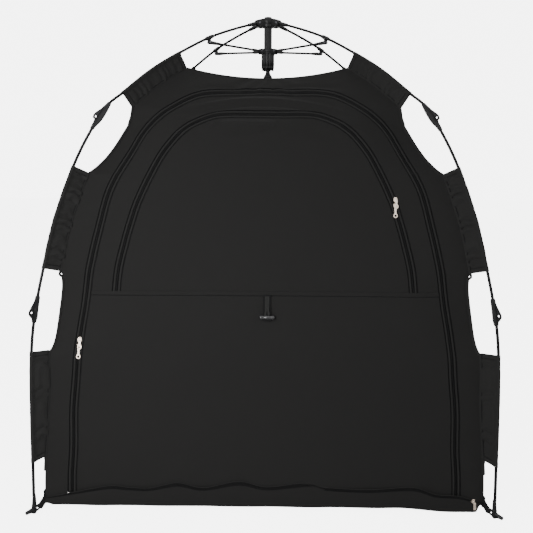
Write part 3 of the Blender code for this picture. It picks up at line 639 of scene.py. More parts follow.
LOOKS = {
    "cover": cloth_material("cover_cloth", (0.0155, 0.0152, 0.0150), (0.0235, 0.0232, 0.0226), 0.86, 420),
    "roof": cloth_material("roof_cloth", (0.0155, 0.0152, 0.0150), (0.0235, 0.0232, 0.0226), 0.86, 420, (1.5708, 0, 0)),
    "side": cloth_material("side_cloth", (0.0155, 0.0152, 0.0150), (0.0235, 0.0232, 0.0226), 0.86, 420, (0, 0, 1.5708)),
    # Sleeves and binding: the cover's cloth painted about a quarter lighter, as painted light where the lamps reach
    # them only obliquely
    "sleeve": cloth_material("sleeve_cloth", (0.0195, 0.0193, 0.0190), (0.0290, 0.0287, 0.0280), 0.9, 380, (0, 0, 0.68)),
    # Dark tape look: the zips' own tape, darkened further as painted shade in their grooves; also painted shade under
    # the door's seam, along the sleeves' hems and seams, and under the toggle
    "tape": cloth_material("zip_tape", (0.0082, 0.0082, 0.0084), (0.0125, 0.0125, 0.0127), 0.8, 560, soft=0.4),
    "coil": hard_material("zip_coil", (0.0050, 0.0050, 0.0052), (0.0090, 0.0090, 0.0092), 0.62, 900, 0.0001, specular=0.12),
    # Piping: the cover's cloth painted lighter, a painted highlight along the raised edges of zips, seams and hem
    "piping": cloth_material("piping", (0.0175, 0.0173, 0.0170), (0.0270, 0.0268, 0.0262), 0.75, 700, soft=0.35),
    "thread": cloth_material("thread", (0.0175, 0.0175, 0.0178), (0.0270, 0.0270, 0.0275), 0.7, 1500),
    "tail": cloth_material("toggle_tail", (0.0220, 0.0220, 0.0215), (0.0340, 0.0340, 0.0330), 0.75, 300, soft=0.6),
    "webbing": cloth_material("webbing", (0.0085, 0.0085, 0.0090), (0.0160, 0.0160, 0.0165), 0.78, 300, soft=0.6),
    "pole": hard_material("pole", (0.0050, 0.0050, 0.0054), (0.0100, 0.0100, 0.0105), 0.38, 500, 0.00015, specular=0.12),
    "plastic": hard_material("plastic", (0.0060, 0.0061, 0.0064), (0.0170, 0.0172, 0.0180), 0.34, 900, 0.0002, specular=0.22),
    "gloss": hard_material("gloss_plastic", (0.010, 0.010, 0.011), (0.020, 0.020, 0.022), 0.22, 900, 0.0001, coat=0.6),
    "steel": hard_material("rivet_steel", (0.05, 0.05, 0.055), (0.11, 0.11, 0.12), 0.32, 700, 0.0001, 1.0),
    "pull": hard_material("pull_metal", (0.80, 0.65, 0.53), (0.98, 0.85, 0.73), 0.24, 500, 0.00008, 0.85),
}


# Cover panels on the front, each in two halves that meet at the middle


def foot_width(side):
    return float(corner_at(length_at_height(0.03))[0]) * share(side)[0] - 0.0006


BELOW, OVER = 46, 96


def half_arch(points, shift, below=True, high=OVER):
    """One half of an arch, from the foot to the middle of the top, moved outward by shift."""
    line = catmull(points, 16)
    ahead = np.gradient(line, axis=0)
    ahead /= np.linalg.norm(ahead, axis=1)[:, None]
    ahead[-1] = (-1, 0)
    along = lengths_along(line)
    wander = 0.0016 * np.sin(along * 31 + 1) * ramp(0.0, 0.1, along) * ramp(0.0, 0.1, along[-1] - along)
    line = line + np.stack([ahead[:, 1], -ahead[:, 0]], axis=-1) * (shift + wander)[:, None]
    line[-1, 0] = 0.0
    if not below:
        line[0, 1] = SEAM_Z
        return even(line, high + 1)[0]
    n = int(np.searchsorted(line[:, 1], SEAM_Z))
    t = (SEAM_Z - line[n - 1, 1]) / (line[n, 1] - line[n - 1, 1])
    crossing = line[n - 1] + (line[n] - line[n - 1]) * t
    low = even(np.vstack([line[:n], crossing]), BELOW + 1)[0]
    low[0, 1] = PANEL_FOOT
    return np.vstack([low[:-1], even(np.vstack([crossing, line[n:]]), high + 1)[0]])


def wall_outline():
    """The front wall's own edge, from its foot over the top to the middle."""
    bottom, seam = length_at_height(PANEL_FOOT), length_at_height(SEAM_Z)
    top = KNOT[3] + 0.0008
    rise = int(OVER * 0.8)
    side = np.concatenate([np.linspace(bottom, seam, BELOW + 1)[:-1], np.linspace(seam, top, rise + 1)])
    left = wall_point("front", edge_across(side, "front"), side)[:, [0, 2]]
    reach = float(edge_across(top, "front"))
    over = wall_point("front", np.linspace(reach, 0, OVER - rise + 1)[1:], np.full(OVER - rise, top))[:, [0, 2]]
    return np.vstack([left, over])


def between(outer, inner, steps):
    t = np.linspace(0, 1, steps + 1)[:, None, None]
    return outer[None] * (1 - t) + inner[None] * t


def panel(shape, outer, inner, steps, sign, look="cover"):
    flat = between(outer, inner, steps)
    x, z = flat[..., 0] * sign, flat[..., 1]
    z = settle(x, z, foot_width("front"))
    across, s = front_place(x, z)
    place, normal = wall_point("front", across, s), wall_normal("front", across, s)
    return lay(shape, place, normal, front_relief(x, z), look)


def line_on_front(flat, sign, lift):
    return on_front(flat[:, 0] * sign, flat[:, 1], lift)


# The section of the fold beside a zip's teeth
ZIP_FOLD = [(0.0028, -0.0014), (0.0026, 0.0004), (0.0014, 0.0015), (-0.0014, 0.0015), (-0.0026, 0.0004), (-0.0028, -0.0014)]


def zip_strip(points, sign, name, below):
    """One half of a zip: tape, coil, the two folded edges of the cloth, and their stitching; the tape's dark colour is
    partly painted shade in the grooves, the folded edges' light colour a painted highlight.
    """
    shape = Shape()
    edge = ZIP_HALF + 0.0012
    middle = half_arch(points, 0.0, below)
    outer, inner = half_arch(points, edge, below), half_arch(points, -edge, below)
    flat = between(outer, inner, 8)
    x, z = flat[..., 0] * sign, flat[..., 1]
    across, s = front_place(x, z)
    place, normal = wall_point("front", across, s), wall_normal("front", across, s)
    # The recessed tape and the cords along its edges are darkened: painted shade in the zip's grooves
    area = lay(shape, place, normal, front_relief(x, z) - 0.0026, "tape")
    for shift in (ZIP_HALF - 0.0003, -ZIP_HALF + 0.0003):
        path, out = line_on_front(half_arch(points, shift, below), sign, -0.0008)
        sweep(shape, path, out, round_profile(0.0009, 0.0, 8), "tape")
    for shift in (ZIP_HALF - 0.0062, -ZIP_HALF + 0.0062):
        path, out = line_on_front(half_arch(points, shift, below), sign, -0.0010)
        sweep(shape, path, out, ZIP_FOLD, "piping")
        stitches(shape, path, out, "thread", side=0.0012)
    path, out = line_on_front(middle, sign, -0.0016)
    sweep(shape, path, out, round_profile(0.0019, 0.0, 8, 0.5), "coil")
    teeth(shape, path, out)
    obj = shape.object(name, 50)
    return obj, area


def teeth(shape, path, out):
    """The turns of a zip's coil, alternating from side to side."""
    for side in (-0.0009, 0.0009):
        stitches(shape, path + out * 0.0012, out, "coil", 0.0026, 0.0016, 0.00065, side)


def seam_ridge(shape, sign):
    """The folded edge of the upper cloth over the lower, across the door."""
    wide = float(half_arch(DOOR_ZIP, -ZIP_HALF, True)[BELOW, 0])
    x = np.linspace(0.0, wide, 70) * sign
    path, out = on_front(x, np.full(70, SEAM_Z + 0.004), 0.0)
    profile = [(-0.0052, -0.0003), (-0.0052, 0.0016), (-0.0040, 0.0020), (0.0046, 0.0012), (0.0052, -0.0003)]
    if sign > 0:
        profile = [(-a, b) for a, b in profile]
    sweep(shape, path, out, profile, "cover")
    stitches(shape, path + out * 0.0017, out, "thread", side=0.0028 * sign)
    # A dark cord just below the fold: painted shade under the seam
    path, out = on_front(x, np.full(70, SEAM_Z - 0.0022), 0.0)
    sweep(shape, path, out, round_profile(0.0010, 0.0, 6, 0.6), "tape")


def door_half(sign):
    """The door: an arch between its zips above the seam, and one width of cloth below it."""
    shape = Shape()
    full = half_arch(DOOR_ZIP, -ZIP_HALF - 0.0003)
    area = panel(shape, full[BELOW:], half_arch(WINDOW_ZIP, ZIP_HALF + 0.0003, False), 14, sign)
    low = full[: BELOW + 1].copy()
    low[-1, 1] = SEAM_Z + 0.001
    inner = low.copy()
    inner[:, 0] = 0.0
    area += panel(shape, low, inner, 44, sign)
    seam_ridge(shape, sign)
    return shape, area


def flap_half(sign):
    shape = Shape()
    outer = half_arch(WINDOW_ZIP, -ZIP_HALF - 0.0003, False)
    outer[0, 1] = SEAM_Z - 0.001
    foot = np.stack([np.linspace(outer[0, 0], 0, len(outer)), np.full(len(outer), SEAM_Z - 0.001)], axis=-1)
    return shape, panel(shape, outer, foot, 40, sign)


def wall_half_front(sign):
    """The cloth round the door, with the sewn edge along the roof."""
    shape = Shape()
    area = panel(shape, wall_outline(), half_arch(DOOR_ZIP, ZIP_HALF + 0.0003), 12, sign)
    roof_seam(shape, "front", sign)
    return shape, area


def roof_seam(shape, side, sign):
    """The piped seam between a wall and the roof."""
    reach = float(edge_across(KNOT[3], side))
    across = np.linspace(0.0, reach, 60) * sign
    s = np.full(60, KNOT[3] + 0.001)
    path = wall_point(side, across, s)
    out = wall_normal(side, across, s)
    sweep(shape, path, out, round_profile(0.0018, 0.0, 8), "piping")
    s = s + 0.007
    place = wall_point(side, across, s)
    normal = wall_normal(side, across, s)
    x = place[:, 0] if side in ("front", "rear") else place[:, 1]
    high = front_relief(x, place[:, 2]) if side == "front" else side_relief(side, across, s)
    stitches(shape, place + normal * (high + 0.0002)[:, None], normal, "thread")


# The plain walls


def wall_half(side, sign):
    """One half of the rear or a side wall."""
    shape = Shape()
    down = np.linspace(0, 1, 118)[:, None]
    share_across = np.linspace(0, 1, 46 if side == "rear" else 38)
    wide = foot_width(side)
    low = length_at_height(hem_low(share_across * wide, wide) + 0.004)
    s_grid = KNOT[3] + 0.0008 + (low[None] - KNOT[3] - 0.0008) * down
    across = share_across[None] * edge_across(s_grid, side) * sign
    place, normal = wall_point(side, across, s_grid), wall_normal(side, across, s_grid)
    area = lay(shape, place, normal, side_relief(side, across, s_grid), "cover" if side == "rear" else "side")
    roof_seam(shape, side, sign)
    middle_seam(shape, side, sign)
    return shape, area


def middle_seam(shape, side, sign):
    """A flat felled seam across the wall, level with the one on the door."""
    s = np.full(70, float(length_at_height(SEAM_Z)))
    across = np.linspace(0.0, float(edge_across(s[0], side)), 70) * sign
    place, normal = wall_point(side, across, s), wall_normal(side, across, s)
    path = place + normal * side_relief(side, across, s)[:, None]
    look = "cover" if side == "rear" else "side"
    sweep(shape, path, normal, band_profile(0.0048, 0.0011), look)
    for shift in (-0.0026, 0.0026):
        stitches(shape, path + normal * 0.0010, normal, "thread", side=shift)


# The roof


def roof_height(x, y):
    r, z = (float(v) for v in corner_at(KNOT[3]))
    u, v = x / (r * COS), y / (r * SIN)
    rho = np.hypot(x, y)
    centre = KNOB_BASE - 0.0003 - (z - EDGE_SAG)
    lift = centre * np.exp(-((rho / 0.075) ** 2))
    turns = np.arctan2(y, x)
    rays = 0.0016 * bump(0.12, 0.07, rho) * np.sin(turns * 8 + 0.6)
    return z + 0.0003 - EDGE_SAG * (1 - u * u * v * v) + lift + rays + 0.0012 * ripple(x, y, 0.08, 4.2)


def roof_points(x, y):
    z = roof_height(x, y)
    e = 0.002
    dx = (roof_height(x + e, y) - roof_height(x - e, y)) / (2 * e)
    dy = (roof_height(x, y + e) - roof_height(x, y - e)) / (2 * e)
    normal = np.stack([-dx, -dy, np.ones_like(z)], axis=-1)
    normal /= np.linalg.norm(normal, axis=-1)[..., None]
    return np.stack([x, y, z], axis=-1), normal


# The peak's radius, and the height below which none of it moves with the lower hub
PEAK, PEAK_FOOT = 0.188, 1.158


def roof_quadrant(sx, sy):
    """A quarter of the roof, outside the peak that the hub's knob holds up."""
    r, _ = (float(v) for v in corner_at(KNOT[3]))
    half_x, half_y = r * COS - 0.0003, r * SIN - 0.0003
    a = np.sort(np.append(np.linspace(0, math.pi / 2, 41), math.atan2(half_y, half_x)))
    reach = np.minimum(half_x / np.maximum(np.cos(a), 1e-6), half_y / np.maximum(np.sin(a), 1e-6))
    t = np.linspace(0, 1, 24)[:, None]
    rho = PEAK + (reach - PEAK)[None] * t
    place, normal = roof_points(rho * np.cos(a) * sx, rho * np.sin(a) * sy)
    shape = Shape()
    return shape, lay(shape, place, normal, np.zeros(rho.shape), "roof")


def roof_peak():
    shape = Shape()
    a = np.linspace(0, 2 * math.pi, 161)
    rho = np.linspace(0.003, PEAK + 0.0004, 34)[:, None]
    place, normal = roof_points(rho * np.cos(a), rho * np.sin(a))
    area = lay(shape, place, normal, np.zeros(place.shape[:2]), "roof")
    disc = np.linspace(0, 2 * math.pi, 33)
    top = roof_points(0.012 * np.cos(disc), 0.012 * np.sin(disc))
    sweep(shape, top[0] + top[1] * 0.0002, top[1], band_profile(0.0022, 0.0005), "webbing")
    return shape, area


# The corners: sleeves round the poles, and the binding


def corner_axes(corner):
    sx, sy = QUADRANTS[corner]
    u = np.array([sx * COS, sy * SIN, 0.0])
    t = np.array([-sy * SIN, sx * COS, 0.0]) * (sx * sy)
    return u, t


def beside(corner, s, out, across):
    """Points beside the leg's line: out of it in the leg's plane, and across that plane."""
    u, t = corner_axes(corner)
    r, z, tr, tz = leg_at(s)
    radius, height = r - out * tz, z + out * tr
    return radius[..., None] * u + across[..., None] * t + height[..., None] * np.array([0, 0, 1.0])


def sleeve_depth(s):
    return CORNER_DEPTH - (CORNER_DEPTH - HEM_DEPTH) * ramp(KNOT[14], KNOT[15] + 0.08, s)


FLAPS = [
    (KNOT[3], SLEEVE_1_END, 0.0030, 250),
    (KNOT[8], KNOT[10], 0.0056, 210),
    (KNOT[13], KNOT[15], 0.0040, 110),
]


def hairpin(count, round_pole):
    """The section of a flap folded round its pole: (share of depth, out, across)."""
    flat = [1 - k / count for k in range(count)]
    rows = [(share_in, -0.0075, 0.0009) for share_in in flat]
    for k in range(9):
        a = math.radians(140 - 35 * k)
        rows.append((0.0, round_pole * math.cos(a), round_pole * math.sin(a)))
    return rows + [(share_in, -0.0075, -0.0009) for share_in in flat[::-1]]


def flap(shape, corner, number):
    """One sleeve, with its gathers and the folded hems at both ends."""
    start, end, height, pitch = FLAPS[number]
    count = int((end - start) / 0.0022)
    s = np.linspace(start, end, count)
    section = np.array(hairpin(9, 0.0050))
    share_in, out0, across0 = section.T
    depth = sleeve_depth(s)
    out = out0[None] - share_in[None] * (depth[:, None] + out0[None])
    sgn = np.sign(across0)[None] * np.ones((count, 1))
    s_grid = np.repeat(s[:, None], len(section), axis=1)
    lean = (0.35 if number == 2 else 0.08) * out
    phase = (s_grid + lean) * pitch + 1.9 * np.sin(s_grid * 61 + number * 2 + sgn * 0.9) + 0.8 * np.sin(out * 150)
    crest = np.abs(np.sin(phase * 0.5)) ** 0.7 * 2 - 1
    wave = 0.8 * crest + 0.45 * np.sin(phase * 0.37 + 1.0)
    flat_part = ramp(0.0, 0.25, share_in)[None] * 0.8 + 0.2
    edges = ramp(0.011, 0.014, s_grid - start) * ramp(0.011, 0.014, end - s_grid)
    push = height * wave * flat_part * (0.35 + 0.65 * edges)
    hem_line = bump(0.0125, 0.0016, s_grid - start) + bump(0.0125, 0.0016, end - s_grid)
    push = push * (1 - hem_line) + 0.0012 * (1 - edges)
    across = across0[None] + sgn * np.maximum(push, -0.0006)
    cut = s_grid
    if number == 2:
        cut = s_grid + 0.010 * (s_grid - start) / (end - start) * (out / 0.040)
    outer = beside(corner, cut, out, across)
    inner_across = across - np.sign(across) * CLOTH
    round_part = (share_in == 0.0)[None] & (np.abs(across0) > 0)[None]
    shrink = np.where(round_part, 1 - CLOTH / 0.0050, 1.0)
    inner = beside(corner, cut, np.where(round_part, out * shrink, out), np.where(round_part, across * shrink, inner_across))
    area = shell(shape, outer, inner, "sleeve")
    for side in (-1, 1):
        # Dark cords across both hems and along the inner seam: painted shade under the hems' folds and in the seam
        for inset in (0.0125, (end - start) - 0.0125):
            path, across_leg = sleeve_row(corner, start + inset, side, start, end, number)
            sweep(shape, path, across_leg, round_profile(0.0011, 0.0, 6), "tape")
        seam = beside(corner, s, 0.0034 - depth, np.full(count, side * 0.0016))
        sweep(shape, seam, np.repeat(corner_axes(corner)[1][None] * side, count, axis=0), round_profile(0.0013, 0.0, 6), "tape")
    return area


def sleeve_row(corner, at, side, start, end, number):
    """A line across a sleeve at its hem, which carries a dark cord of painted shade under the hem's fold."""
    out = np.linspace(-0.009, -float(sleeve_depth(at)) + 0.002, 16)
    s = np.full(16, at)
    if number == 2:
        s = s + 0.010 * (at - start) / (end - start) * (out / 0.040)
    path = beside(corner, s, out, np.full(16, side * 0.0016))
    return path, np.repeat(corner_axes(corner)[1][None] * side, 16, axis=0)


def binding(shape, corner):
    """The rolled edge along the corner, which steps back beside the elbows."""
    s = np.linspace(KNOT[3] + 0.001, KNOT[15] + 0.03, 240)
    depth = sleeve_depth(s) + hole_depth(s)
    path = beside(corner, s, -depth, np.zeros(240))
    ahead = np.gradient(path, axis=0)
    ahead /= np.linalg.norm(ahead, axis=1)[:, None]
    t = np.repeat(corner_axes(corner)[1][None], 240, axis=0)
    profile = [(0.0036, 0.0), (0.0030, 0.0021), (0.0, 0.0029), (-0.0030, 0.0026)]
    profile += [(-0.0030, -0.0026), (0.0, -0.0029), (0.0030, -0.0021)]
    sweep(shape, path, t, profile, "sleeve")
    for side in (-1, 1):
        stitches(shape, path + t * side * 0.0029, t * side, "thread")


def sleeve_object(corner):
    shape = Shape()
    area = sum(flap(shape, corner, n) for n in range(3))
    binding(shape, corner)
    return shape, area


# The hem band and its zip


def hem_half(side, sign):
    """Half of one side of the band round the foot, with the zip along its upper edge."""
    shape = Shape()
    wide = foot_width(side)
    x = np.linspace(0.0, wide, 90) * sign
    world_x = x if side in ("front", "left") else -x
    top = base_zip_height(side, world_x if side != "left" else -world_x)
    t = np.linspace(0, 1, 12)[:, None]
    low = hem_low(world_x if side != "left" else -world_x, wide)
    z = low[None] + (top[None] - low[None]) * t
    s = length_at_height(z)
    across = np.clip(x[None] / (corner_at(s)[0] * share(side)[0]), -1, 1)
    place, normal = wall_point(side, across, s), wall_normal(side, across, s)
    relief = 0.0030 + 0.0009 * ripple(x[None] + 0 * z, z, 0.05, 1.2) + 0.0016 * np.sin(t * math.pi)
    look = "cover" if side in ("front", "rear") else "side"
    area = lay(shape, place[:-2], normal[:-2], relief[:-2], look)
    area += lay(shape, place[-3:], normal[-3:], relief[-3:] - 0.0003, "tape")
    path = place[-2] + normal[-2] * (relief[-2] + 0.0004)[:, None]
    sweep(shape, path, normal[-2], round_profile(0.0014, 0.0, 8, 0.6), "coil")
    teeth(shape, path, normal[-2])
    path = place[-1] + normal[-1] * (relief[-1] + 0.0002)[:, None]
    sweep(shape, path, normal[-1], round_profile(0.0011, 0.0, 6), "piping")
    path = place[1] + normal[1] * (relief[1] + 0.0002)[:, None]
    stitches(shape, path, normal[1], "thread")
    base = place[0] + normal[0] * (relief[0] - 0.0004)[:, None]
    sweep(shape, base, normal[0], round_profile(0.0017, 0.0, 8), "piping")
    return shape, area


# Hard pieces, each built in a place of its own: on a leg's line, in a leg's plane, on a strut or upright


def solid(shape, points, faces, look):
    """Adds a closed solid whose faces look outward."""
    points = np.asarray(points, float).reshape(-1, 3)
    fans = np.array([(f[0], f[k], f[k + 1]) for f in faces for k in range(1, len(f) - 1)])
    a, b, c = (points[fans[:, i]] - points.mean(axis=0) for i in range(3))
    if np.sum(a * np.cross(b, c)) < 0:
        faces = [face[::-1] for face in faces]
    shape.add(points, faces, look)


def caps(rows, count):
    return [tuple(range(count))[::-1], tuple((rows - 1) * count + k for k in range(count))]


def lathe(shape, profile, place, look, sides=24, lobes=0, dip=0.0):
    """A turned piece from (along, radius) points, with flutes if there are lobes."""
    turns = np.arange(sides) * 2 * math.pi / sides
    rows = []
    for along, radius in profile:
        wide = radius * (1 - dip * (0.5 + 0.5 * np.cos(lobes * turns)) ** 3)
        rows.append(place(np.full(sides, along), wide * np.cos(turns), wide * np.sin(turns)))
    faces = quads(len(rows), sides, closed=True) + caps(len(rows), sides)
    solid(shape, np.vstack(rows), faces, look)


def arc(x, y, radius, start, end, count=14):
    turns = np.radians(np.linspace(start, end, count))
    return [(x + radius * math.cos(a), y + radius * math.sin(a)) for a in turns]


def plate(shape, outline, place, low, high, look, hole=None, edge=0.0007, count=56):
    """A moulded plate with rounded edges. hole is (x, y, radius)."""
    outline = np.array([*outline, outline[0]], float)
    outline = even(outline, count + 1)[0][:-1]
    middle = outline.mean(axis=0) if hole is None else np.array(hole[:2])
    inward = (middle - outline) / np.linalg.norm(middle - outline, axis=1)[:, None]
    inner = outline + inward * edge
    rings = [(inner, low), (outline, low + edge), (outline, high - edge), (inner, high)]
    if hole:
        rim = middle - inward * hole[2]
        rings += [(rim, high), (rim, low)]
    rows = [place(ring[:, 0], ring[:, 1], np.full(count, level)) for ring, level in rings]
    faces = quads(len(rows), count, closed=True)
    if hole:
        last = (len(rows) - 1) * count
        faces += [(last + k, last + (k + 1) % count, (k + 1) % count, k) for k in range(count)]
    else:
        faces += caps(len(rows), count)
    solid(shape, np.vstack(rows), faces, look)


def upright(z, x, y):
    return np.stack([x, y, z], axis=-1)


def on_leg(corner):
    return lambda s, out, across: beside(corner, s, out, across)


def in_plane(corner):
    u, t = corner_axes(corner)

    def place(r, z, across):
        r, z, across = np.broadcast_arrays(r, z, across)
        return r[..., None] * u + across[..., None] * t + z[..., None] * np.array([0, 0, 1.0])

    return place


def on_strut(corner):
    """From the strut's outer pivot inward: (along, above, across)."""
    place = in_plane(corner)
    run = np.array(STRUT_INNER) - np.array(STRUT_OUTER)
    run = run / np.linalg.norm(run)

    def at(along, above, across):
        return place(
            STRUT_OUTER[0] + run[0] * along + run[1] * above,
            STRUT_OUTER[1] + run[1] * along - run[0] * above,
            across,
        )

    return at


def pin(shape, corner, r, z, half, radius, look="plastic"):
    """A rivet across a leg's plane, with domed heads."""
    place = in_plane(corner)
    head = radius * 1.6
    side = [(half, 0.0003), (half - 0.0002, head * 0.6), (half - 0.0008, head), (half - 0.0016, head)]
    side.append((half - 0.0016, radius))
    profile = side + [(-t, wide) for t, wide in side[::-1]]
    lathe(shape, profile, lambda t, a, b: place(r + a, z + b, t), look, 16)


def crown():
    """The domed cap with a pair of cheeks for each arm."""
    shape = Shape()
    profile = [(1.409, 0.0005), (1.409, 0.0137), (1.3915, 0.0137), (1.391, 0.0160), (1.3914, 0.0206)]
    profile += [(1.3930, 0.0222), (1.4020, 0.0225), (1.4030, 0.0216), (1.4042, 0.0225), (1.4140, 0.0222)]
    profile += [(1.4185, 0.0208), (1.4206, 0.0188), (1.4206, 0.0166), (1.4180, 0.0150), (1.4180, 0.0140)]
    profile += [(1.4215, 0.0130), (1.4250, 0.0122), (1.4266, 0.0104), (1.4270, 0.0078), (1.4270, 0.0064)]
    profile += [(1.4262, 0.0056), (1.4262, 0.0004)]
    lathe(shape, profile, upright, "plastic", 56)
    tip = arc(LEG_LINE[0][0], LEG_LINE[0][1], 0.0106, -90, 70)
    cheek = [(0.014, 1.3938), *tip, (0.0370, 1.4158), (0.0310, 1.4180), (0.0250, 1.4196), (0.014, 1.4200)]
    web = [(0.012, 1.3925), (0.030, 1.3925), (0.0285, 1.3985), (0.0268, 1.4090), (0.0255, 1.4170), (0.012, 1.4190)]
    for corner in QUADRANTS:
        place = in_plane(corner)
        for side in (-1, 1):
            plate(shape, cheek, place, *sorted((side * 0.0052, side * 0.0090)), "plastic")
            rim = arc(*LEG_LINE[0], 0.0066, 0, 345, 24)
            plate(shape, rim, place, *sorted((side * 0.0086, side * 0.0100)), "plastic", edge=0.0005)
        plate(shape, web, place, -0.0056, 0.0056, "plastic")
        pin(shape, corner, *LEG_LINE[0], 0.0110, 0.0026, "steel")
    return shape.object("crown_cap")


def hub_post():
    """The ribbed column that joins the crown to the sliding grip."""
    shape = Shape()
    profile = [(1.3060, 0.0100), (1.3060, 0.0134), (1.4088, 0.0134), (1.4088, 0.0100)]
    lathe(shape, profile, upright, "plastic", 120, 12, 0.11)
    return shape.object("hub_post_column")


def lower_grip():
    """The fluted grip with four pairs of ears for the struts."""
    shape = Shape()
    profile = [(1.3206, 0.0136), (1.3212, 0.0150), (1.3206, 0.0172), (1.3180, 0.0182), (1.3110, 0.0182)]
    profile += [(1.3096, 0.0168), (1.3066, 0.0168), (1.3060, 0.0100)]
    lathe(shape, profile, upright, "plastic", 56)
    profile = [(1.3062, 0.0100), (1.3062, 0.0190), (1.3050, 0.0208), (1.3020, 0.0216), (1.2640, 0.0216)]
    profile += [(1.2625, 0.0206), (1.2612, 0.0206), (1.2600, 0.0214), (1.2575, 0.0214), (1.2555, 0.0202)]
    profile += [(1.2520, 0.0180), (1.2500, 0.0140), (1.2500, 0.0060)]
    lathe(shape, profile, upright, "plastic", 144, 9, 0.13)
    ear = [(0.0140, 1.3050), (0.0270, 1.3046)]
    ear += arc(*STRUT_INNER, 0.0080, -70, 80) + [(0.0230, 1.3205), (0.0140, 1.3205)]
    for corner in QUADRANTS:
        place = in_plane(corner)
        for side in (-1, 1):
            ends = sorted((side * 0.0040, side * 0.0065))
            plate(shape, ear, place, *ends, "plastic")
        pin(shape, corner, *STRUT_INNER, 0.0080, 0.0019, "steel")
    for k in range(6):
        x, y = 0.0166 * math.cos(k * math.pi / 3 + 0.2), 0.0166 * math.sin(k * math.pi / 3 + 0.2)
        nub = [(1.2478, 0.0004), (1.2480, 0.0020), (1.2494, 0.0030), (1.2560, 0.0034)]
        lathe(shape, nub, lambda z, a, b, x=x, y=y: upright(z, x + a, y + b), "plastic", 14)
    return shape.object("lower_hub_grip_body")


def lower_knob():
    """The neck and flared foot that hold up the middle of the roof."""
    shape = Shape()
    profile = [(1.2510, 0.0050), (1.2505, 0.0080), (1.2468, 0.0082), (1.2455, 0.0072), (1.2420, 0.0072)]
    profile += [(1.2390, 0.0084), (1.2350, 0.0104), (1.2315, 0.0126), (1.2290, 0.0142), (1.2266, 0.0150)]
    profile += [(1.2252, 0.0146), (1.2246, 0.0120), (1.2246, 0.0004)]
    lathe(shape, profile, upright, "plastic", 48, 8, 0.05)
    return shape.object("lower_hub_knob_foot")


def pole_run(shape, corner, start, end, radius=POLE_SEEN):
    count = max(int((end - start) / 0.012), 2)
    s = np.linspace(start, end, count + 1)
    lathe(shape, [(v, radius) for v in s], on_leg(corner), "pole", 16)


def upper_pole(corner):
    """The arm: a knuckle in the crown, a ribbed collar and the rod as far as the elbow."""
    shape = Shape()
    place, leg = in_plane(corner), on_leg(corner)
    knuckle = [(-0.0046, 0.0030), (-0.0046, 0.0054), (-0.0040, 0.0060), (0.0040, 0.0060), (0.0046, 0.0054), (0.0046, 0.0030)]
    lathe(shape, knuckle, lambda t, a, b: place(LEG_LINE[0][0] + a, LEG_LINE[0][1] + b, t), "plastic", 28)
    collar = [(0.004, 0.0040), (0.010, 0.0047), (0.014, 0.0062), (0.017, 0.0066), (0.028, 0.0063), (0.029, 0.0056)]
    collar += [(0.031, 0.0056), (0.032, 0.0062), (0.042, 0.0054), (0.043, 0.0046), (0.043, 0.0030)]
    lathe(shape, collar, leg, "plastic", 24)
    pole_run(shape, corner, 0.036, UPPER_ELBOW[0] + 0.004)
    return shape.object("upper_rod_" + corner)


def arm_bracket(corner):
    """The ribbed sleeve on the arm, with the lug that carries the strut."""
    shape = Shape()
    place, leg = in_plane(corner), on_leg(corner)
    s = float(KNOT[2])
    half = [(0.0000, 0.0060), (0.0030, 0.0060), (0.0036, 0.0066), (0.0100, 0.0064), (0.0106, 0.0056), (0.0150, 0.0052), (0.0160, 0.0046)]
    profile = [(s - d, wide) for d, wide in half[::-1]] + [(s + d, wide) for d, wide in half[1:]]
    lathe(shape, profile, leg, "plastic", 28)
    r, z = STRUT_OUTER
    top = z + 0.0115
    lug = [(r - 0.0062, top), *arc(r, z, 0.0056, 200, 340), (r + 0.0068, top - 0.004)]
    plate(shape, lug, place, -0.0019, 0.0019, "plastic")
    return shape.object("arm_bracket_moulding_" + corner)


def elbow(corner, name, outer, inner, hole, ends):
    """A thin arm with a rivet's eye right through it, between two cheeks, and a socket for each rod."""
    shape = Shape()
    leg = on_leg(corner)
    full = [(s, wide / 1000) for s, wide in outer] + [(s, wide / 1000) for s, wide in inner[::-1]]
    plate(shape, full, leg, -0.0012, 0.0012, "plastic", hole, 0.0006, 96)
    ring = arc(hole[0], hole[1], hole[2] + 0.0016, 0, 350, 36)
    plate(shape, ring, leg, -0.0018, 0.0018, "plastic", hole, 0.0004, 40)
    limit = hole[1] - hole[2] - 0.0019
    cheek = [(s, min(wide * 0.94, limit)) for s, wide in full]
    rib = [(s, min(wide * 0.60, limit - 0.0022)) for s, wide in full]
    for side in (-1, 1):
        plate(shape, cheek, leg, *sorted((side * 0.0010, side * 0.0062)), "plastic", edge=0.0011, count=84)
        plate(shape, rib, leg, *sorted((side * 0.0058, side * 0.0076)), "plastic", edge=0.0009, count=84)
    start, end = ends
    long = end - start
    for base, step in ((start, 1), (end, -1)):
        socket = [(base, 0.0034), (base, 0.0052), (base + step * 0.002, 0.0057), (base + step * 0.008, 0.0058)]
        socket += [(base + step * 0.009, 0.0063), (base + step * 0.012, 0.0063), (base + step * 0.013, 0.0058)]
        socket += [(base + step * long * 0.26, 0.0064), (base + step * long * 0.32, 0.0056), (base + step * long * 0.32, 0.0020)]
        lathe(shape, socket, leg, "plastic", 24)
    return shape.object(name + "_moulding_" + corner)


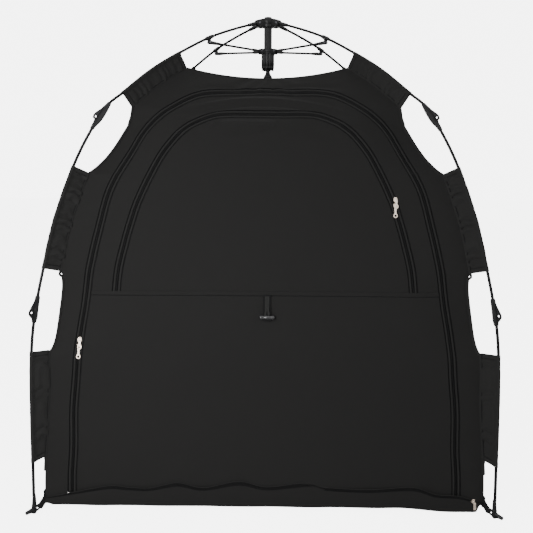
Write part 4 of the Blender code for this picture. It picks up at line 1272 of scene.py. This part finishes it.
UPPER_OUT = [(0.612, 4.2), (0.625, 6.4), (0.641, 9.2), (0.652, 13.2), (0.660, 16.6), (0.669, 17.8), (0.6770, 15.4)]
UPPER_OUT += [(0.678, 7.0), (0.686, 5.6), (0.694, 5.0), (0.706, 4.2)]
UPPER_IN = [(0.612, -4.2), (0.616, -6.0), (0.634, -10.2), (0.650, -12.0), (0.663, -12.3), (0.674, -11.4)]
UPPER_IN += [(0.682, -9.6), (0.692, -6.6), (0.698, -5.0), (0.706, -4.2)]
LOWER_OUT = [(1.190, 4.0), (1.1935, 4.8), (1.2085, 8.7), (1.2265, 15.2), (1.233, 18.0), (1.2400, 18.0), (1.2450, 15.0)]
LOWER_OUT += [(1.2535, 6.6), (1.262, 4.2)]
LOWER_IN = [(1.190, -4.4), (1.193, -5.4), (1.2085, -6.2), (1.230, -7.3), (1.247, -7.8), (1.2535, -6.8), (1.262, -4.4)]


def strut(corner):
    """A rod with a fork at its outer end and a flat paddle between the grip's ears."""
    shape = Shape()
    place = on_strut(corner)
    long = math.dist(STRUT_INNER, STRUT_OUTER)
    fork = [(0.0180, 0.0042), (0.0060, 0.0054), *arc(0, 0, 0.0054, 90, 270), (0.0060, -0.0054), (0.0180, -0.0042)]
    for side in (-1, 1):
        plate(shape, fork, place, *sorted((side * 0.0026, side * 0.0054)), "plastic")
    socket = [(0.0110, 0.0030), (0.0110, 0.0054), (0.0150, 0.0058), (0.0240, 0.0054), (0.0250, 0.0047), (0.0265, 0.0047)]
    socket += [(0.0275, 0.0051), (0.0420, 0.0041), (0.0430, 0.0034), (0.0430, 0.0020)]
    lathe(shape, socket, place, "plastic", 22)
    lathe(shape, [(0.036, STRUT_SEEN), (long - 0.030, STRUT_SEEN)], place, "pole", 16)
    paddle = [(0.0405, 0.0026), (0.0340, 0.0040), (0.0270, 0.0046), (0.0180, 0.0044), (0.0100, 0.0036), (0.0040, 0.0035)]
    top = [(long - d, high) for d, high in paddle]
    tip = [(long + 0.0032 * math.cos(a), 0.0034 * math.sin(a)) for a in np.radians(np.linspace(80, -80, 9))]
    outline = top + tip + [(along, -high) for along, high in top[::-1]]
    plate(shape, outline, place, -0.0024, 0.0024, "plastic", edge=0.0008)
    r = STRUT_OUTER
    head = in_plane(corner)
    profile = [(-0.0068, 0.0003), (-0.0067, 0.0026), (-0.0060, 0.0033), (-0.0053, 0.0033), (-0.0053, 0.0020)]
    profile += [(-t, wide) for t, wide in profile[::-1]]
    lathe(shape, profile, lambda t, a, b: head(r[0] + a, r[1] + b, t), "steel", 16)
    return shape.object("strut_rod_" + corner)


def foot(corner):
    """The boot on the leg's end, with a toe outward and a hook inward for the strap."""
    shape = Shape()
    place = in_plane(corner)
    r = LEG_LINE[-1][0]
    boot = [(0.0000, 0.0006), (0.0000, 0.0036), (0.0012, 0.0052), (0.0040, 0.0060), (0.0150, 0.0061), (0.0165, 0.0067)]
    boot += [(0.0180, 0.0070), (0.0215, 0.0070), (0.0230, 0.0066), (0.0245, 0.0059), (0.0260, 0.0061), (0.0400, 0.0052)]
    boot += [(0.0480, 0.0044), (0.0500, 0.0041), (0.0500, 0.0030)]
    lathe(shape, boot, lambda z, a, b: place(r + a, z, b), "plastic", 28)
    start, end = np.array([r + 0.001, 0.0140]), np.array([r + 0.0212, 0.0056])
    run = (end - start) / np.linalg.norm(end - start)
    long = float(np.linalg.norm(end - start))
    toe = [(0.0, 0.0046), (long * 0.4, 0.0040), (long * 0.7, 0.0042), (long * 0.9, 0.0048), (long + 0.0012, 0.0044)]
    toe += [(long + 0.0028, 0.0030), (long + 0.0034, 0.0006)]
    lathe(
        shape,
        toe,
        lambda d, a, b: place(start[0] + run[0] * d - run[1] * a, start[1] + run[1] * d + run[0] * a, b * 1.25),
        "plastic",
        20,
    )
    web = [(r, 0.0010), (r + 0.010, 0.0022), (r + 0.019, 0.0022), (r + 0.012, 0.0075), (r, 0.0120)]
    plate(shape, web, place, -0.0018, 0.0018, "plastic")
    hook = [(r - 0.001, 0.0050), (r - 0.0090, 0.0052), (r - 0.0176, 0.0098), (r - 0.0216, 0.0132), (r - 0.0206, 0.0166)]
    hook += [(r - 0.0152, 0.0214), (r - 0.0118, 0.0226), (r - 0.0080, 0.0212), (r - 0.001, 0.0205)]
    plate(shape, hook, place, -0.0030, 0.0030, "plastic", (r - 0.0098, 0.0134, 0.0036), 0.0008, 64)
    collar = [(0.0030, 0.0064), (0.0036, 0.0072), (0.0124, 0.0072), (0.0130, 0.0064)]
    lathe(shape, collar, lambda z, a, b: place(r + a, z, b), "plastic", 28)
    return shape.object("foot_boot_" + corner)


def strap(corner):
    """The webbing that holds the cover's corner down, folded over the foot's hook and sewn."""
    shape = Shape()
    _, t = corner_axes(corner)
    r = LEG_LINE[-1][0]
    top = np.array([float(corner_at(length_at_height(0.040))[0]) - 0.007, 0.047])
    low = np.array([r - 0.0160, 0.0136])
    run = low - top
    long = float(np.linalg.norm(run))
    run = run / long
    knots = [(0.0, 0.0012), (long * 0.5, 0.0020), (long - 0.001, 0.0027), (long + 0.0022, 0.0010)]
    knots += [(long + 0.0022, -0.0010), (long - 0.001, -0.0027), (long * 0.55, -0.0020), (long * 0.25, -0.0014)]
    line = catmull(knots, 8)
    sag = 0.0018 * np.sin(np.clip(line[:, 0] / long, 0, 1) * math.pi)
    place = in_plane(corner)
    path = place(top[0] + run[0] * line[:, 0] + run[1] * sag, top[1] + run[1] * line[:, 0] - run[0] * sag, line[:, 1])
    wide = place(-run[1], run[0], 0.0)
    out = np.cross(np.gradient(path, axis=0), wide)
    out /= np.linalg.norm(out, axis=1)[:, None]
    sweep(shape, path, out, band_profile(0.0070, 0.0008, -0.0008), "webbing")
    for shift in (-0.0050, 0.0050):
        for part in (slice(2, 16), slice(-14, -2)):
            side = np.sign(line[part, 1].mean())
            stitches(shape, path[part] + t * side * 0.0008, np.tile(t * side, (path[part].shape[0], 1)), "thread", 0.0034, 0.0022, 0.0004, shift)
    return shape.object("foot_strap_" + corner), 0.0132 * float(lengths_along(path)[-1])


# Pulls and toggle


def wall_frame(x, z, lift=0.0):
    """A place on the front wall: (right, down, out) from there."""
    spots = np.array([(x, z), (x, z - 0.03), (x, z + 0.03), (x + 0.02, z), (x - 0.02, z)])
    place, normal = on_front(spots[:, 0], spots[:, 1], 0.0, False)
    down = place[1] - place[2]
    down /= np.linalg.norm(down)
    out = normal[0]
    right = np.cross(out, down)
    right *= np.sign(right[0])

    def at(a, b, c):
        a, b, c = np.broadcast_arrays(a, b, c)
        return place[0] + a[..., None] * right + b[..., None] * down + (c[..., None] + lift) * out

    return at


def slider(shape, place, x, y, face):
    """A zip slider: two shield-shaped wings, and the bridge that holds the tab."""
    wing = [(x - 0.0040, y - face * 0.0070), (x + 0.0040, y - face * 0.0070), (x + 0.0058, y - face * 0.0030)]
    wing += [(x + 0.0054, y + face * 0.0030), (x + 0.0034, y + face * 0.0072), (x - 0.0034, y + face * 0.0072)]
    wing += [(x - 0.0054, y + face * 0.0030), (x - 0.0058, y - face * 0.0030)]
    plate(shape, wing, place, 0.0006, 0.0030, "pull", edge=0.0010)
    bridge = [(y - 0.0056, 0.0), (y - 0.0056, 0.0040), (y - 0.0030, 0.0062), (y + 0.0030, 0.0062), (y + 0.0056, 0.0040), (y + 0.0056, 0.0)]
    plate(shape, bridge, lambda a, b, c: place(x + c, a, b), -0.0019, 0.0019, "pull", edge=0.0006, count=32)


def tab(shape, place, x, y, long, lean=0.0, level=0.0042):
    """A pull tab: a waisted stem with a pierced round end."""
    eye = long - 0.0064
    outline = [(-0.0030, 0.0), (0.0030, 0.0), (0.0036, 0.0030), (0.0024, 0.0080), (0.0028, eye - 0.0078), (0.0052, eye - 0.0040)]
    outline += arc(0.0, eye, 0.0062, -30, 210, 20)
    outline += [(-0.0052, eye - 0.0040), (-0.0028, eye - 0.0078), (-0.0024, 0.0080), (-0.0036, 0.0030)]
    turned = [(x + a + lean * b, y + b) for a, b in outline]
    hole = (x + lean * eye, y + eye, 0.0033)
    plate(shape, turned, place, level, level + 0.0016, "pull", hole, 0.0005, 72)


def pair_of_pulls(name, x, z):
    """Two sliders that meet on a zip, with their tabs hanging one over the other."""
    shape = Shape()
    place = wall_frame(x, z)
    slider(shape, place, 0.0000, -0.0225, -1)
    slider(shape, place, -0.0006, -0.0050, 1)
    tab(shape, place, 0.0016, -0.0190, 0.0230, -0.03, 0.0052)
    tab(shape, place, -0.0012, 0.0010, 0.0285, -0.01, 0.0030)
    return shape.object(name)


def base_pull():
    """The slider at the end of the zip round the foot, with its tab hanging below the hem."""
    shape = Shape()
    r = float(corner_at(length_at_height(0.036))[0])
    spot = np.array([0.567, -r * SIN - 0.0008, 0.036])

    def place(a, b, c):
        a, b, c = np.broadcast_arrays(a, b, c)
        return spot + np.stack([a, -c, -b], axis=-1)

    ring = arc(0.0, 0.0, 0.0070, 0, 350, 36)
    plate(shape, ring, place, 0.0004, 0.0032, "pull", edge=0.0010)
    knob = [(0.0030, 0.0036), (0.0044, 0.0034), (0.0050, 0.0024), (0.0050, 0.0004)]
    lathe(shape, knob, lambda t, a, b: place(a, b, t), "pull", 20)
    stem = [(0.0000, 0.0030), (0.0072, 0.0016), (0.0080, 0.0200), (0.0070, 0.0216), (0.0010, 0.0220), (0.0002, 0.0206)]
    plate(shape, stem, place, 0.0024, 0.0042, "pull", edge=0.0007)
    return shape.object("base_zip_slider")


def toggle():
    """A webbing tail from the seam, split round a moulded bar, with painted shade beside the tail and a painted shadow
    under the bar.
    """
    shape = Shape()
    place = wall_frame(TOGGLE_X, SEAM_Z - 0.033, 0.0006)
    count = 24
    y = np.linspace(-0.0300, 0.0270, count)
    lift = 0.0010 + 0.0040 * ramp(-0.010, 0.024, y)
    out = np.tile(place(0.0, 0.0, 1.0) - place(0.0, 0.0, 0.0), (count, 1))
    # A dark band wider than the tail: painted shade on the sides of the webbing loop
    sweep(shape, place(np.zeros(count), y, lift * 0.4), out, band_profile(0.0112, 0.0010, -0.0008), "tape")
    for side in (-1, 1):
        x = side * (0.0030 + 0.0024 * ramp(0.006, 0.026, y))
        sweep(shape, place(x, y, lift + 0.0010), out, band_profile(0.0031, 0.0013, -0.0010), "tail")
        stitches(shape, place(x[:16], y[:16], lift[:16] + 0.0022), out[:16], "thread", 0.0034, 0.0022, 0.0004)
    head = [(-0.0110, -0.0340), (0.0110, -0.0340), (0.0110, -0.0292), (-0.0110, -0.0292)]
    plate(shape, head, place, 0.0004, 0.0032, "tape", edge=0.0006)
    half = [(0.0, 0.0056), (0.0050, 0.0056), (0.0064, 0.0050), (0.0120, 0.0054), (0.0165, 0.0058), (0.0190, 0.0052), (0.0204, 0.0036), (0.0208, 0.0006)]
    profile = [(-a, wide) for a, wide in half[::-1]] + half[1:]
    lathe(shape, profile, lambda t, a, b: place(t, 0.0270 + a, 0.0072 + b), "gloss", 28)
    # A dark plate under the bar: painted shadow of the bar
    under = [(-0.0170, 0.0290), (0.0170, 0.0290), (0.0120, 0.0352), (0.0050, 0.0372), (-0.0050, 0.0372), (-0.0120, 0.0352)]
    plate(shape, under, place, 0.0010, 0.0052, "tape", edge=0.0014)
    return shape.object("window_toggle_bar")


def put(obj, body, slot, *nodes):
    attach(obj, body)
    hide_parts(*nodes)


def hard_pieces():
    put(crown(), "hub", "plastic", "crown")
    put(hub_post(), "lower_hub", "plastic", "hub_post")
    put(lower_grip(), "lower_hub", "plastic", "lower_hub_grip")
    put(lower_knob(), "lower_hub", "plastic", "lower_hub_knob")
    for corner in QUADRANTS:
        leg = "leg_" + corner
        put(upper_pole(corner), leg, "pole", "upper_pole_" + corner)
        put(arm_bracket(corner), leg, "plastic", "arm_bracket_" + corner)
        hole = (0.6690, 0.0092, 0.0027)
        put(elbow(corner, "upper_elbow", UPPER_OUT, UPPER_IN, hole, UPPER_ELBOW), leg, "plastic", "upper_elbow_" + corner)
        hole = (1.2365, 0.0098, 0.0027)
        put(elbow(corner, "lower_elbow", LOWER_OUT, LOWER_IN, hole, LOWER_ELBOW), leg, "plastic", "lower_elbow_" + corner)
        for kind, start, end in (
            ("middle", UPPER_ELBOW[1] - 0.004, LOWER_ELBOW[0] + 0.004),
            ("lower", LOWER_ELBOW[1] - 0.004, ARC[-1] - 0.046),
        ):
            shape = Shape()
            pole_run(shape, corner, start, end)
            put(shape.object(kind + "_rod_" + corner), leg, "pole", kind + "_pole_" + corner)
        put(foot(corner), leg, "plastic", "foot_" + corner)
        put(strut(corner), "strut_" + corner, "pole", "strut_" + corner)
        obj, area = strap(corner)
        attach(obj, leg)
        finish_cloth(obj, area, ["hem_band"])
    for obj, corner, node in (
        (pair_of_pulls("door_zip_sliders", -0.507, 0.440), "front_left", "door_zip_pulls"),
        (pair_of_pulls("window_zip_sliders", 0.364, 0.826), "front_right", "window_zip_pulls"),
        (base_pull(), "front_right", "base_zip_pull"),
    ):
        bend(obj, corner, "wall")
        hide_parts(node)
    put(toggle(), "hub", "webbing", "window_toggle")


# Blends: numbers for bending each half from the hub's body to its own leg; bend() reads them but only bakes the piece's
# transform

BLENDS = {
    "wall": ((1.0, 0.0, 0.282), 0.341, 0.2587),
    "side": ((0.0, 1.0, 0.2254), 0.273, 0.2065),
    "roof": ((3.865, 4.854, 1.09), 2.291, 1.0),
}


def bend(obj, corner, kind):
    (nx, ny, nz), at, wide = BLENDS[kind]
    sx, sy = QUADRANTS[corner]
    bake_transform(obj)


def finish_cloth(obj, area, nodes):
    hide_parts(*nodes)


def corner_name(side, sign):
    """The corner at this end of a wall, where the sign is that of the place across."""
    if side in ("front", "rear"):
        right = sign > 0 if side == "front" else sign < 0
        return side + ("_right" if right else "_left")
    back = sign > 0 if side == "right" else sign < 0
    return ("rear_" if back else "front_") + side


def front_pieces():
    for sign, hand in ((-1, "left"), (1, "right")):
        corner = "front_" + hand
        shape, area = wall_half_front(sign)
        obj = shape.object("front_wall_" + hand)
        bend(obj, corner, "wall")
        finish_cloth(obj, area, ["front_wall"])
        shape, area = door_half(sign)
        obj = shape.object("door_" + hand)
        bend(obj, corner, "wall")
        finish_cloth(obj, area, ["door_panel"])
        shape, area = flap_half(sign)
        obj = shape.object("window_flap_" + hand)
        bend(obj, corner, "wall")
        finish_cloth(obj, area, ["window_flap"])
        for points, name, below in (
            (DOOR_ZIP, "door_zip", True),
            (WINDOW_ZIP, "window_zip", False),
        ):
            obj, area = zip_strip(points, sign, name + "_" + hand, below)
            bend(obj, corner, "wall")
            finish_cloth(obj, area, [name])


def plain_walls():
    for side in ("rear", "left", "right"):
        for sign in (-1, 1):
            corner = corner_name(side, sign)
            shape, area = wall_half(side, sign)
            end = corner.replace("_" + side, "").replace(side + "_", "")
            obj = shape.object(side + "_wall_" + end)
            bend(obj, corner, "wall" if side == "rear" else "side")
            finish_cloth(obj, area, [side + "_wall"])


def hems():
    for side in ("front", "rear", "left", "right"):
        for sign in (-1, 1):
            corner = corner_name(side, sign)
            shape, area = hem_half(side, sign)
            end = corner.replace("_" + side, "").replace(side + "_", "")
            obj = shape.object("hem_" + side + "_" + end)
            bend(obj, corner, "wall" if side in ("front", "rear") else "side")
            finish_cloth(obj, area, ["hem_band"])


def roof_pieces():
    for corner, (sx, sy) in QUADRANTS.items():
        shape, area = roof_quadrant(sx, sy)
        obj = shape.object("roof_" + corner)
        bend(obj, corner, "roof")
        finish_cloth(obj, area, ["roof"])
    shape, area = roof_peak()
    obj = shape.object("roof_peak")
    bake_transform(obj)
    finish_cloth(obj, area, ["roof"])


def sleeves():
    for corner in QUADRANTS:
        shape, area = sleeve_object(corner)
        obj = shape.object("sleeve_" + corner)
        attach(obj, "leg_" + corner)
        finish_cloth(obj, area, ["pole_sleeve_" + corner])


def stand_still(obj):
    return obj


def floor():
    bm = bmesh.new()
    bmesh.ops.create_grid(bm, x_segments=2, y_segments=2, size=14.0)
    mesh = bpy.data.meshes.new("floor")
    bm.to_mesh(mesh)
    bm.free()
    made, nodes, links, shader, place = base_material("floor", 0.9, specular=0.1)
    shader.inputs["Base Color"].default_value = (0.9, 0.9, 0.9, 1)
    shader.inputs["Emission Color"].default_value = (1, 1, 1, 1)
    seen = nodes.new("ShaderNodeLightPath").outputs["Is Camera Ray"]
    glow = math_node(nodes, links, "MULTIPLY", seen, FLOOR_SEEN)
    links.new(glow, shader.inputs["Emission Strength"])
    mesh.materials.append(made)
    obj = new_object("floor", mesh)
    obj.location = (0, 0, -0.0006)
    stand_still(obj)


def camera():
    turn, roll, far = math.radians(0.80), math.radians(0.25), 2.651
    data = bpy.data.cameras.new("camera")
    data.lens = 54.03
    data.sensor_width = 36.0
    data.shift_x = -0.0019
    data.shift_y = -0.2148
    data.clip_start = 0.05
    cam = new_object("camera", data)
    cam.location = (far * math.sin(turn), -far * math.cos(turn), 0.98)
    cam.rotation_euler = (math.pi / 2, -roll, turn)
    bpy.context.scene.camera = cam


def lights():
    """Soft lamps round a white room: the camera sees the room brighter than it shines."""
    for name, place, size, power in (
        ("key", (-1.3, -2.3, 1.75), 1.0, 24),
        ("middle", (-0.62, -1.9, 0.84), 0.6, 13),
        ("fill", (2.5, -1.9, 1.4), 1.4, 13),
        ("top", (0.0, 0.2, 3.4), 2.0, 10),
        ("back", (0.0, 3.2, 2.2), 3.0, 20),
    ):
        lamp = bpy.data.lights.new(name, "AREA")
        lamp.size = size
        lamp.energy = power
        obj = new_object(name, lamp)
        obj.location = place
        obj.rotation_euler = (Vector((0, 0, 0.6)) - Vector(place)).to_track_quat("-Z", "Y").to_euler()
    world = bpy.data.worlds.new("studio")
    world.use_nodes = True
    nodes, links = world.node_tree.nodes, world.node_tree.links
    path = nodes.new("ShaderNodeLightPath")
    shine = nodes["Background"]
    shine.inputs["Color"].default_value = (1, 1, 1, 1)
    seen = mapped(nodes, links, path.outputs["Is Camera Ray"], 0.0, 1.0, ROOM_LIGHT, ROOM_SEEN)
    gloss = mapped(nodes, links, path.outputs["Is Glossy Ray"], 0.0, 1.0, 0.0, ROOM_GLOSS)
    links.new(math_node(nodes, links, "ADD", seen, gloss), shine.inputs["Strength"])
    bpy.context.scene.world = world


camera()
lights()
floor()
front_pieces()
plain_walls()
hems()
roof_pieces()
sleeves()


hard_pieces()
